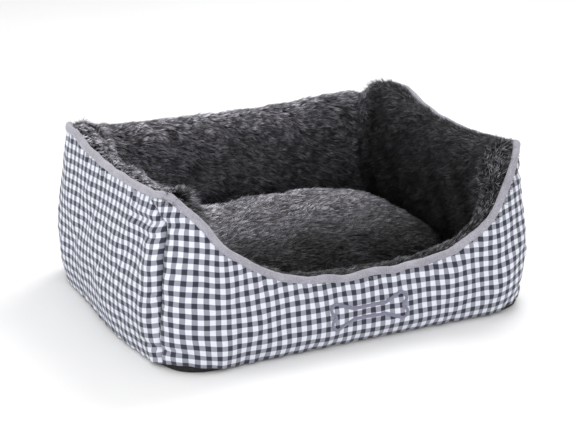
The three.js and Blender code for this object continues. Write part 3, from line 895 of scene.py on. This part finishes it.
def skin(s, v, depth=0.0):
    """A point on the stuffed outer cloth, a depth inside it."""
    z = sizes()
    x, y, nx, ny = outline(s)
    rim = rim_height(x, y)
    hem = hem_height(s)
    top = rim - PANEL_TOP_GAP
    h = hem + (top - hem) * v
    share = np.clip((h - SKIN_START) / (rim - SKIN_START), -0.1, 1)
    low = np.clip(1 - share / 0.25, 0, 1.4)
    high = np.clip((share - 0.3) / 0.7, 0, 1)
    inset = z.foot * low**2 + rim_lean(s) * high**1.6 - bulge(s) * (1 - high)
    gap = seam_distance(s, v)
    away = np.abs(gap)
    body = np.sin(np.pi * np.clip(v, 0, 1)) ** 0.5
    inset += 0.0030 * near(away, 0.0024) * body
    inset += 0.0056 * near(away, 0.009) * body - 0.0020 * near(away - 0.034, 0.020) * body
    pucker = np.sin(2 * np.pi * (h / 0.0165 + 0.6 * np.sin(h * 70 + gap * 30)))
    inset += 0.0009 * pucker * np.exp(-away / 0.017)
    inset += 0.0015 * waves(s, h, 5, 0.11) * body
    inset += 0.0006 * waves(s, h, 6, 0.034) * body
    ruffle = waves(s, 0 * h, 7, 0.021, 7)
    inset += 0.0011 * ruffle * near(rim - h - 0.010, 0.012)
    inset += 0.0011 * waves(s, 0 * h, 8, 0.026, 7) * near(h - hem, 0.012)
    fold = near(h - 0.026 - 0.008 * np.sin(away * 60), 0.0042) * near(away, 0.038)
    inset += 0.0042 * fold
    for crease in CREASES:
        inset += crease_depth(s, h, *crease)
    inset = inset + depth
    return np.stack([x - nx * inset, y - ny * inset, h], -1)


def crease_depth(s, h, start, end, deep, half):
    """A pulled fold in the cloth along a line from start to end."""
    total = outline_length()
    ds, dh = end[0] - start[0], end[1] - start[1]
    length = math.hypot(ds, dh)
    rs = np.mod(s - start[0] + total / 2, total) - total / 2
    rh = h - start[1]
    t = (rs * ds + rh * dh) / length**2
    off = (rs * dh - rh * ds) / length
    ends = near(np.maximum(0, np.maximum(-t, t - 1)) * length, 0.008)
    return deep * ends * (near(off, half) - 0.45 * near(np.abs(off) - 2.1 * half, half))


class BED_OT_outer_panels(Operator):
    """Four stuffed gingham panels with seams on the corners"""

    bl_idname = "bed.outer_panels"
    bl_label = "Outer panels"

    def execute(self, context):
        for wall, (start, end) in WALLS.items():
            self.panel(wall, start, end)
        return {"FINISHED"}

    def panel(self, wall, start, end):
        def across(a, v):
            low = seam_place(v, self.seam(start)) - self.seam(start) + start + 0.0003
            high = seam_place(v, self.seam(end)) - self.seam(end) + end - 0.0003
            return low + (high - low) * a

        def place(a, v):
            return skin(across(a, v), v)

        def measure(a, v):
            s = across(a, v)
            x, y, _, _ = outline(s)
            middle = (start + end) / 2
            height = v * (rim_height(x, y) - PANEL_TOP_GAP - hem_height(s)) * 1.02
            tilt = CHECK_TILT[wall]
            return s - middle - tilt * height, height + tilt * (s - middle) + 0.2

        columns = round((end - start) / 0.0025)
        obj = cloth_grid(f"gingham_{wall}", columns, 84, place, measure)
        apply_modifier(obj, "SOLIDIFY", thickness=0.0015, offset=-1.0)
        smooth(obj)
        finish_piece(obj, "shell", "gingham", gingham_cloth(), f"outer_panel_{wall}")

    @staticmethod
    def seam(s):
        total = outline_length()
        return s - total if s > total / 2 else s


# --- Linings ------------------------------------------------------------------------------------


def lining_curve(s, w, depth=0.0):
    """A point on the fur's ground: behind the piping, over the roll and down inside the wall."""
    x, y, nx, ny = outline(s)
    rim = rim_height(x, y)
    hold = np.array([0, 0.03, 0.07, 0.12, 0.18, 0.24, 0.32, 0.45, 0.75, 1.0])
    inset_at = np.array(
        [0.0205, 0.0225, 0.0275, 0.0360, 0.0450, 0.0520, 0.0565, 0.0590, 0.0600, 0.0570]
    )
    drop_at = np.array([0.0090, 0.0050, 0.0030, 0.0035, 0.0080, 0.0150, 0.0270, 0.0450])
    inset = np.interp(w, hold, inset_at) + rim_lean(s) - sizes().lean
    drop = np.interp(w, hold[:8], drop_at)
    upper = rim - drop
    knee = rim - drop_at[-1]
    floor = 0.0135
    t = np.clip((w - hold[7]) / (1 - hold[7]), 0, 1)
    roll = sizes().back_roll * np.maximum(0, ny) ** 3
    roll += 0.009 * near(x - 0.19, 0.08) * (ny > 0)
    roll += np.where(nx > 0, 0.008, 0.003) * np.abs(nx) ** 4
    roll += 0.004 * np.maximum(0, -ny) ** 3
    grown = np.clip((w - 0.03) / 0.09, 0, 1)
    upper = upper + roll * grown
    knee = knee + roll
    h = np.where(w <= hold[7], upper, knee + (floor - knee) * t)
    moved = s + (BACK_SEAM - LINING_BACK_SEAM) * near(s - BACK_SEAM, 0.09)
    gap = seam_distance(moved, 0 * s + 0.3)
    body = np.clip(w / 0.15, 0, 1)
    inset -= (0.0065 * near(gap, 0.010) - 0.002 * near(np.abs(gap) - 0.035, 0.02)) * body
    inset += 0.0020 * waves(s, h, 15, 0.10) * body
    inset += 0.0010 * waves(s, h, 16, 0.04) * body
    h = h + 0.0012 * waves(s, 0 * h, 17, 0.05) * np.clip(1 - w / 0.4, 0, 1)
    inset = inset - depth
    return np.stack([x - nx * inset, y - ny * inset, h], -1)


class BED_OT_linings(Operator):
    """Fur linings: the ground of each wall and the pile on it"""

    bl_idname = "bed.linings"
    bl_label = "Fur linings"

    def execute(self, context):
        for number, (wall, (start, end)) in enumerate(WALLS.items()):
            start = LINING_BACK_SEAM if start == BACK_SEAM else start
            end = LINING_BACK_SEAM if end == BACK_SEAM else end
            self.lining(wall, start, end, 40 + number)
        return {"FINISHED"}

    def lining(self, wall, start, end, seed):
        z = sizes()

        def place(a, v):
            return lining_curve(start + 0.0006 + (end - start - 0.0012) * a, v)

        ground = cloth_grid(f"lining_ground_{wall}", round((end - start) / 0.004), 50, place)
        apply_modifier(ground, "SMOOTH", factor=0.5, iterations=3)
        rng = np.random.default_rng(seed)
        share, parts = FUR_SHARES[wall]
        count = parts * round(share * z.wall_hairs)
        points, normals = scatter(ground, count, rng, lambda p, n: (p[:, 2] > 0.03) * 1.0)
        flow = self.flow(wall, points, normals)
        seams = self.seam_gap(points)
        crest = np.clip(normals[:, 2], 0, 1)
        calm = (points[:, 0] > 0) & (points[:, 1] < 0)
        tuft = near(seams, 0.014) * np.where(calm, 0.3 - 0.3 * crest, 1 - 0.3 * crest)
        length = z.pile * (1 + 0.75 * tuft)
        lift = (0.55 if wall == "right" else 0.36) + 0.40 * tuft
        # each wall's pile is a lit or shaded copy of the fur: painted light and shade
        fur = pile_fur(f"{wall} wall pile", *FUR_PAINTED_LIGHT[wall])
        piles = []
        for k in range(parts):
            own = slice(k, None, parts)
            name = f"lining_pile_{wall}" + ("_under" if k else "")
            thick = 0.00050 if parts == 1 else 0.00038
            piles.append(grow_pile(
                name, points[own], normals[own], flow[own], length[own], lift[own], thick,
                seed + 20 * k,
            ))
        apply_modifier(ground, "SOLIDIFY", thickness=0.0018, offset=-1.0)
        smooth(ground)
        finish_piece(ground, "shell", "dark_fur", pile_backing(), f"lining_{wall}")
        for pile in piles:
            finish_piece(pile, "shell", "dark_fur", fur)

    @staticmethod
    def seam_gap(points):
        """Distance in plan from the four lining seams, which run in from the corners."""
        best = np.full(len(points), 9.0)
        for seam in (FRONT_SEAM, LINING_BACK_SEAM, -BACK_SEAM, -FRONT_SEAM):
            x, y, nx, ny = (float(k[0]) for k in outline(np.array([seam])))
            best = np.minimum(best, np.abs((points[:, 0] - x) * ny - (points[:, 1] - y) * nx)
                              + 9 * ((points[:, 0] * x < 0) | (points[:, 1] * y < 0)))
        return best

    @staticmethod
    def flow(wall, points, normals):
        """Which way the pile lies: along the back and front, down and forward on the sides."""
        lay = {
            "front": (1.0, 0.15, -0.25),
            "back": (1.0, 0.0, -0.30),
            "left": (0.25, -0.8, 0.25),
            "right": (-0.2, 0.8, -0.45),
        }[wall]
        flow = np.tile(np.array(lay), (len(points), 1))
        swirl = waves(points[:, 0] + points[:, 1], points[:, 2], 21, 0.07)
        flow[:, 2] += 0.35 * swirl
        return flow


# --- Fillings -----------------------------------------------------------------------------------


class BED_OT_fillings(Operator):
    """Stuffed bolsters between the outer panels and the linings"""

    bl_idname = "bed.fillings"
    bl_label = "Wall fillings"

    def execute(self, context):
        for wall, (start, end) in WALLS.items():
            self.bolster(wall, start + 0.003, end - 0.003)
        return {"FINISHED"}

    def bolster(self, wall, start, end):
        share = 0.5
        low, high = 0.07, 0.90

        def place(a, v):
            s = start + (end - start) * a
            out = skin(s, low + (high - low) * np.clip(v / share, 0, 1), 0.0035)
            back = lining_curve(s, 0.12 + 0.85 * np.clip((v - share) / (1 - share), 0, 1), 0.0040)
            back[:, 2] -= 0.0035 * np.clip(1 - (v - share) / 0.2, 0, 1)
            out[:, 2] = np.maximum(out[:, 2], 0.0135)
            back[:, 2] = np.maximum(back[:, 2], 0.0145)
            return np.where((v <= share + 1e-6)[:, None], out, back)

        obj = cloth_grid(f"wall_fibre_{wall}", round((end - start) / 0.010), 40, place)
        self.close(obj)
        smooth(obj)
        finish_piece(obj, "shell", "fibre_filling", fibre_filling(), f"wall_filling_{wall}")

    @staticmethod
    def close(obj):
        """Joins the long edges of the wrapped sheet and caps its two ends."""
        mesh = bmesh.new()
        mesh.from_mesh(obj.data)
        bottom = [e for e in mesh.edges if e.is_boundary]
        bmesh.ops.holes_fill(mesh, edges=bottom, sides=0)
        bmesh.ops.triangulate(mesh, faces=[f for f in mesh.faces if len(f.verts) > 4])
        bmesh.ops.recalc_face_normals(mesh, faces=mesh.faces)
        mesh.to_mesh(obj.data)
        mesh.free()


# --- Piping -------------------------------------------------------------------------------------


class BED_OT_piping(Operator):
    """Corded piping round the whole rim"""

    bl_idname = "bed.piping"
    bl_label = "Piping"

    def execute(self, context):
        z = sizes()
        columns = 760
        step = outline_length() / columns

        def place(a, v):
            s = outline_length() * a
            here, ahead, behind = (self.line(s + k) for k in (0, step, -step))
            along = unit(ahead - behind)
            _, _, nx, ny = outline(s)
            out = np.stack([nx, ny, 0 * nx], -1)
            out = unit(out - along * (out * along).sum(1, keepdims=True))
            up = np.cross(out, along)
            up *= np.sign(up[:, 2:3])
            angle = -2 * math.pi * v
            radius = z.piping * (1 + 0.035 * waves(s, 0.02 * np.cos(angle), 31, 0.012, 7))
            radius = radius * (1 + 0.05 * waves(s, 0 * s, 32, 0.06, 5))
            sideways, upright = radius * np.cos(angle), radius * np.sin(angle)
            return here + out * sideways[:, None] + up * upright[:, None]

        obj = cloth_grid("piping", columns, 20, place)
        edit(
            obj,
            lambda: bpy.ops.mesh.remove_doubles(threshold=0.00001),
            lambda: bpy.ops.mesh.normals_make_consistent(inside=False),
        )
        smooth(obj)
        finish_piece(obj, "shell", "piping", brushed_piping_cloth(), "piping_cover")
        return {"FINISHED"}

    @staticmethod
    def line(s):
        x, y, nx, ny = outline(s)
        inset = rim_lean(s) + 0.001 + 0.0011 * waves(s, 0 * s, 33, 0.075, 7)
        h = rim_height(x, y) + 0.0011 * waves(s, 0 * s, 34, 0.065, 7)
        return np.stack([x - nx * inset, y - ny * inset, h], -1)


# --- Base ---------------------------------------------------------------------------------------


class BED_OT_base(Operator):
    """Black non-slip underside, the pad on it and the floor cloth inside"""

    bl_idname = "bed.base"
    bl_label = "Base"

    def execute(self, context):
        self.underside()
        self.floor_cloth()
        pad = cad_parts["base_pad"]
        pad.data.materials.clear()
        pad.data.materials.append(fibre_filling())
        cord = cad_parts["piping_cord"]
        cord.data.materials.clear()
        cord.data.materials.append(plain_weave("piping cord yarn", (0.7, 0.69, 0.64), 0.0012))
        return {"FINISHED"}

    @staticmethod
    def ring(inset, height):
        s = np.linspace(0, outline_length(), 320, endpoint=False)
        x, y, nx, ny = outline(s)
        sag = 0.0006 * waves(s, 0 * s, 51, 0.05, 5)
        sag += 0.0050 * (1 - cornering(s)) - 0.8 * bulge(s)
        return np.stack([x - nx * (inset + sag), y - ny * (inset + sag), 0 * s + height], -1)

    def underside(self):
        shape = [
            (0.084, 0.0), (0.060, 0.0), (0.016, 0.0), (0.0125, 0.0008), (0.0102, 0.0028),
            (0.0092, 0.0060), (0.0094, 0.0100), (0.0104, 0.0132), (0.0116, 0.0132),
            (0.0108, 0.0100), (0.0106, 0.0062), (0.0116, 0.0036), (0.0134, 0.0020),
            (0.0170, 0.0014), (0.060, 0.0014), (0.084, 0.0014),
        ]
        loops = [self.ring(inset, height) for inset, height in shape]
        obj = loops_solid("non_slip_base", loops, (0, 0, 0), (0, 0, 0.0014))
        smooth(obj)
        use(obj)
        bpy.ops.object.shade_smooth_by_angle(angle=math.radians(40))
        finish_piece(obj, "shell", "non_slip_cloth", non_slip_cloth(), "base_panel")

    def floor_cloth(self):
        low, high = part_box("base_lining")
        margin = 0.012

        def place(a, v):
            x = low[0] + margin + (high[0] - low[0] - 2 * margin) * a
            y = low[1] + margin + (high[1] - low[1] - 2 * margin) * v
            x, y = self.round_corners(x, y, high[0] - margin, high[1] - margin, 0.075)
            edge = np.minimum(high[0] - np.abs(x), high[1] - np.abs(y))
            lift = 0.00035 * waves(x, y, 61, 0.09) * np.clip(edge / 0.05, 0, 1)
            return np.stack([x, y, low[2] + 0.0012 + lift], -1)

        obj = cloth_grid("floor_cloth", 60, 50, place)
        apply_modifier(obj, "SOLIDIFY", thickness=0.0006, offset=-1.0)
        smooth(obj)
        cloth = plain_weave("floor cloth weave", (0.016, 0.016, 0.018), 0.0012)
        finish_piece(obj, "shell", "floor_cloth", cloth, "base_lining")

    @staticmethod
    def round_corners(x, y, half_x, half_y, radius):
        """Draws the corners of a rectangle of points in to a radius."""
        dx = np.maximum(0, np.abs(x) - (half_x - radius))
        dy = np.maximum(0, np.abs(y) - (half_y - radius))
        far = np.hypot(dx, dy)
        flat = np.maximum(dx, dy)
        scale = np.where(far > 1e-9, flat / np.maximum(far, 1e-9), 1.0)
        return (np.sign(x) * (np.abs(x) - dx + dx * scale),
                np.sign(y) * (np.abs(y) - dy + dy * scale))


# --- Motif --------------------------------------------------------------------------------------


class BED_OT_motif(Operator):
    """Plain bone drawn in a band of satin stitch on the front panel"""

    bl_idname = "bed.motif"
    bl_label = "Stitched motif"

    band = 0.0048
    steps = 760
    stitches = 190

    def execute(self, context):
        low, high = MOTIF
        middle = (low[2] + high[2]) / 2
        edge = self.contour((high[0] - low[0]) / 2 - 0.0005, (high[2] - low[2]) / 2 - 0.0005)
        ahead = np.roll(edge, -1, 0) - np.roll(edge, 1, 0)
        inward = unit(np.stack([-ahead[:, 1], ahead[:, 0]], -1))

        def place(a, v):
            at = a * len(edge)
            along = np.arange(len(edge) + 1)
            closed = np.vstack([edge, edge[:1]])
            into = np.vstack([inward, inward[:1]])
            x, h, ix, ih = (np.interp(at, along, k) for k in (*closed.T, *into.T))
            x = x + ix * self.band * v
            h = middle + h + ih * self.band * v
            rim = rim_height(x, 0 * x - sizes().depth / 2) - PANEL_TOP_GAP
            hem = hem_height(x)
            base = skin(x, (h - hem) / (rim - hem))
            crown = np.sqrt(np.clip(1 - (2 * v - 1) ** 4, 0, 1))
            stitch = 0.5 + 0.5 * np.sin(2 * np.pi * a * self.stitches)
            base[:, 1] -= 0.0004 + (0.0012 + 0.0003 * stitch) * crown
            return base

        obj = cloth_grid("stitched_bone", self.steps, 8, place)
        edit(
            obj,
            lambda: bpy.ops.mesh.remove_doubles(threshold=0.00001),
            lambda: bpy.ops.mesh.normals_make_consistent(inside=False),
        )
        apply_modifier(obj, "SOLIDIFY", thickness=0.0012, offset=-1.0)
        smooth(obj)
        finish_piece(obj, "shell", "thread", embroidery_thread(), "stitched_motif")
        return {"FINISHED"}

    def contour(self, half_long, half_tall):
        """The bone's edge, anticlockwise: four round lobes joined by a bar with soft hollows."""
        turn = np.linspace(0, 2 * np.pi, 4000, endpoint=False)
        radius = half_tall * 0.50
        near_x, near_h = half_long - radius, half_tall - radius
        reach = np.linspace(0, half_long * 1.05, 900)[None, :]
        x = reach * np.cos(turn)[:, None]
        h = reach * np.sin(turn)[:, None]
        lobe = np.hypot(np.abs(x) - near_x, np.abs(h) - near_h) - radius
        bar = np.maximum(np.abs(h) - half_tall * 0.50, np.abs(x) - near_x)
        blend = 0.0055
        mix = np.clip(0.5 + 0.5 * (bar - lobe) / blend, 0, 1)
        depth = bar + (lobe - bar) * mix - blend * mix * (1 - mix)
        inside = depth < 0
        last = inside.shape[1] - 1 - np.argmax(inside[:, ::-1], axis=1)
        far = reach[0, last]
        path = np.stack([far * np.cos(turn), far * np.sin(turn)], -1)
        step = np.linalg.norm(np.diff(np.vstack([path, path[:1]]), axis=0), axis=1)
        walked = np.concatenate([[0], np.cumsum(step)])
        even = np.linspace(0, walked[-1], self.steps, endpoint=False)
        loop = np.vstack([path, path[:1]])
        even_path = np.stack([np.interp(even, walked, loop[:, k]) for k in (0, 1)], -1)
        for _ in range(6):
            before, after = np.roll(even_path, 1, 0), np.roll(even_path, -1, 0)
            even_path = (before + 2 * even_path + after) / 4
        return even_path


# --- Cushion ------------------------------------------------------------------------------------


class BED_OT_cushion(Operator):
    """Loose stuffed cushion: fur top, cloth underside and its filling"""

    bl_idname = "bed.cushion"
    bl_label = "Cushion"

    seam = 0.046

    def execute(self, context):
        body = self.blank()
        self.puff(body)
        self.settle(body)
        top = self.half(body, "cushion_top", True)
        under = self.half(body, "cushion_underside", False)
        self.fibre(body)
        bpy.data.objects.remove(body)
        self.pile(top)
        for obj in (top, under):
            apply_modifier(obj, "SOLIDIFY", thickness=0.0015, offset=-1.0)
            smooth(obj)
        finish_piece(top, "cushion", "cushion_fur", pile_backing(), "cushion_cover_top")
        cloth = plain_weave("underside weave", (0.018, 0.018, 0.020), 0.0012)
        finish_piece(under, "cushion", "floor_cloth", cloth, "cushion_cover_bottom")
        return {"FINISHED"}

    def blank(self):
        """A domed pillow a little smaller than the finished cushion."""
        deselect()
        bpy.ops.mesh.primitive_cube_add(size=2)
        obj = bpy.context.object
        obj.name = "cushion_blank"
        edit(obj, lambda: bpy.ops.mesh.subdivide(number_cuts=38))
        p = points_of(obj)
        half_x, half_y = TOP[1][0] - 0.004, TOP[1][1] - 0.003
        x, y = p[:, 0] * half_x, p[:, 1] * half_y
        x, y = BED_OT_base.round_corners(x, y, half_x, half_y, 0.045)
        edge = np.maximum(np.abs(p[:, 0]), np.abs(p[:, 1]))
        radial = (np.abs(p[:, 0]) ** 3.2 + np.abs(p[:, 1]) ** 3.2) ** (1 / 3.2)
        dome = np.clip(1 - np.clip(radial, 0, 1) ** 3.6, 0, 1) ** 0.55
        high = 0.058 + (0.103 - 0.058) * dome
        low = BOTTOM[0][2] + 0.002 + 0.012 * np.clip((edge - 0.86) / 0.14, 0, 1) ** 2
        h = low + (high - low) * (p[:, 2] + 1) / 2
        waist = 1 - 0.02 * np.abs(p[:, 2]) ** 6
        put_points(obj, np.stack([x * waist, y * waist, h], -1))
        return obj

    @staticmethod
    def puff(obj):
        """Swells the cover with air pressure, and keeps how far a point may move small."""
        apply_modifier(obj, "REMESH", mode="VOXEL", voxel_size=0.0075)
        before = points_of(obj)
        frames = 20
        furthest = 0.010
        use(obj)
        mod = obj.modifiers.new("cloth", "CLOTH")
        mod.settings.quality = 5
        mod.settings.mass = 0.3
        mod.settings.use_pressure = True
        mod.settings.uniform_pressure_force = 4
        mod.settings.tension_stiffness = 15
        mod.settings.effector_weights.gravity = 0
        mod.point_cache.frame_start = 1
        mod.point_cache.frame_end = frames
        scene = bpy.context.scene
        for step in range(1, frames + 1):
            scene.frame_set(step)
        use(obj)
        bpy.ops.object.modifier_apply(modifier=mod.name)
        scene.frame_set(1)
        move = points_of(obj) - before
        far = np.linalg.norm(move, axis=1, keepdims=True)
        put_points(obj, before + move * np.minimum(1, furthest / np.maximum(far, 1e-9)))

    def settle(self, obj):
        """Flattens the underside on the base and keeps the zip edge straight."""
        apply_modifier(obj, "SUBSURF", levels=1, render_levels=1)
        p = points_of(obj)
        above = np.clip((p[:, 2] - 0.05) / 0.03, 0, 1)
        p[:, 2] += 0.0018 * waves(p[:, 0], p[:, 1], 71, 0.12) * above
        p[:, 2] = np.maximum(p[:, 2], BOTTOM[0][2])
        band = near(p[:, 2] - self.seam, 0.004)
        pull = 1 - 0.012 * band
        p[:, 0] *= pull
        zipped = (np.abs(p[:, 0]) < 0.150) & (p[:, 2] > 0.026) & (p[:, 2] < 0.066)
        p[:, 1] = np.where(zipped, np.minimum(p[:, 1], TOP[1][1] - 0.0004), p[:, 1])
        p[:, 0] = np.clip(p[:, 0], TOP[0][0] + 0.001, TOP[1][0] - 0.001)
        p[:, 1] = np.clip(p[:, 1], TOP[0][1] + 0.001, TOP[1][1] - 0.0004)
        put_points(obj, p)

    @staticmethod
    def copy_of(body, name):
        obj = body.copy()
        obj.data = body.data.copy()
        obj.name = obj.data.name = name
        bpy.context.collection.objects.link(obj)
        return obj

    def half(self, body, name, upper):
        """The part of the cushion above or below its seam."""
        obj = self.copy_of(body, name)
        height = self.seam + (0.0004 if upper else -0.0004)
        mesh = bmesh.new()
        mesh.from_mesh(obj.data)
        bmesh.ops.bisect_plane(
            mesh, geom=mesh.verts[:] + mesh.edges[:] + mesh.faces[:], plane_co=(0, 0, height),
            plane_no=(0, 0, 1), clear_inner=upper, clear_outer=not upper,
        )
        mesh.to_mesh(obj.data)
        mesh.free()
        return obj

    def fibre(self, body):
        obj = self.copy_of(body, "cushion_fibre")
        normals = np.empty(len(obj.data.vertices) * 3)
        obj.data.vertex_normals.foreach_get("vector", normals)
        put_points(obj, points_of(obj) - normals.reshape(-1, 3) * 0.003)
        apply_modifier(obj, "DECIMATE", ratio=0.3)
        smooth(obj)
        finish_piece(obj, "cushion", "fibre_filling", fibre_filling(), "cushion_filling")

    def pile(self, top):
        z = sizes()
        rng = np.random.default_rng(90)

        def keep(p, n):
            zipped = (np.abs(p[:, 0]) < 0.137) & (p[:, 1] > 0.168) & (p[:, 2] < 0.064)
            return (~zipped) & (p[:, 2] > self.seam)

        points, normals = scatter(top, 2 * z.cushion_hairs, rng, keep)
        order = np.argsort(points[:, 0])
        # painted light and shade on the cushion pile: darker towards the front, lighter towards the
        # back
        fur = pile_fur("cushion pile", 1.0, 1, -0.11, 0.12, 0.30, 3.1)
        for name, part, seed in (
            ("cushion_pile_left", order[: z.cushion_hairs], 91),
            ("cushion_pile_right", order[z.cushion_hairs:], 92),
        ):
            flow = np.tile(np.array((1.0, -0.25, 0.0)), (len(part), 1))
            swirl = waves(points[part, 0], points[part, 1], 93, 0.10)
            flow[:, 1] += 0.45 * swirl
            lift = np.full(len(part), 0.40)
            obj = grow_pile(
                name, points[part], normals[part], flow, z.pile, lift, 0.00050, seed
            )
            finish_piece(obj, "cushion", "cushion_fur", fur)


# --- Zip ----------------------------------------------------------------------------------------


class BED_OT_zip(Operator):
    """Zip in the back edge of the cushion"""

    bl_idname = "bed.zip"
    bl_label = "Cushion zip"

    def execute(self, context):
        self.teeth()
        tape = plain_weave("zip tape weave", (0.014, 0.014, 0.016), 0.0010)
        metal = zip_metal()
        for name, mat in (
            ("zip_tape_upper", tape), ("zip_tape_lower", tape), ("zip_stop_left", metal),
            ("zip_stop_right", metal), ("zip_slider", metal), ("zip_pull_tab", metal),
        ):
            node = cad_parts[name]
            node.data.materials.clear()
            node.data.materials.append(mat)
        return {"FINISHED"}

    @staticmethod
    def teeth():
        """A row of moulded coil turns, alternating up and down along the zip."""
        low, high = (np.array(k) for k in COIL)
        pitch = 0.0016
        count = int((high[0] - low[0]) / pitch)
        deselect()
        tall = high[2] - low[2] - 0.0013
        bpy.ops.mesh.primitive_cylinder_add(vertices=8, radius=0.00062, depth=tall)
        one = bpy.context.object
        edit(one, lambda: bpy.ops.mesh.bevel(offset=0.0003, segments=1))
        base = points_of(one)
        polys = [tuple(p.vertices) for p in one.data.polygons]
        bpy.data.objects.remove(one)
        middle = (low + high) / 2
        points, faces = [], []
        for i in range(count):
            sway = 0.0005 * (1 if i % 2 else -1)
            place = np.array([low[0] + pitch * (i + 0.5), middle[1], middle[2] + sway])
            lean = base.copy()
            lean[:, 0] += lean[:, 2] * (0.12 if i % 2 else -0.12)
            faces += [tuple(k + len(points) for k in face) for face in polys]
            points += [tuple(p) for p in lean + place]
        obj = piece_from("zip_teeth", points, faces)
        smooth(obj)
        nylon = plain_weave("coil nylon", (0.02, 0.02, 0.022), 0.002, 0.4)
        finish_piece(obj, "cushion", "zip_tape", nylon, "zip_coil")


# --- Panel and run ------------------------------------------------------------------------------

STEPS = (
    BED_OT_stage,
    BED_OT_outer_panels,
    BED_OT_linings,
    BED_OT_fillings,
    BED_OT_piping,
    BED_OT_base,
    BED_OT_motif,
    BED_OT_cushion,
    BED_OT_zip,
)


class VIEW3D_PT_pet_bed(Panel):
    bl_label = "Pet Cushion Bed"
    bl_space_type = "VIEW_3D"
    bl_region_type = "UI"
    bl_category = "Pet Bed"

    def draw(self, context):
        for step in STEPS:
            self.layout.operator(step.bl_idname)


CLASSES = (BedSizes, BedColours, *STEPS, VIEW3D_PT_pet_bed)


def register():
    for item in CLASSES:
        bpy.utils.register_class(item)
    bpy.types.Scene.bed_sizes = PointerProperty(type=BedSizes)
    bpy.types.Scene.bed_colours = PointerProperty(type=BedColours)


def unregister():
    del bpy.types.Scene.bed_colours
    del bpy.types.Scene.bed_sizes
    for item in reversed(CLASSES):
        bpy.utils.unregister_class(item)


def main():
    register()
    for step in STEPS:
        group, name = step.bl_idname.split(".")
        getattr(getattr(bpy.ops, group), name)()


if __name__ == "__main__":
    main()
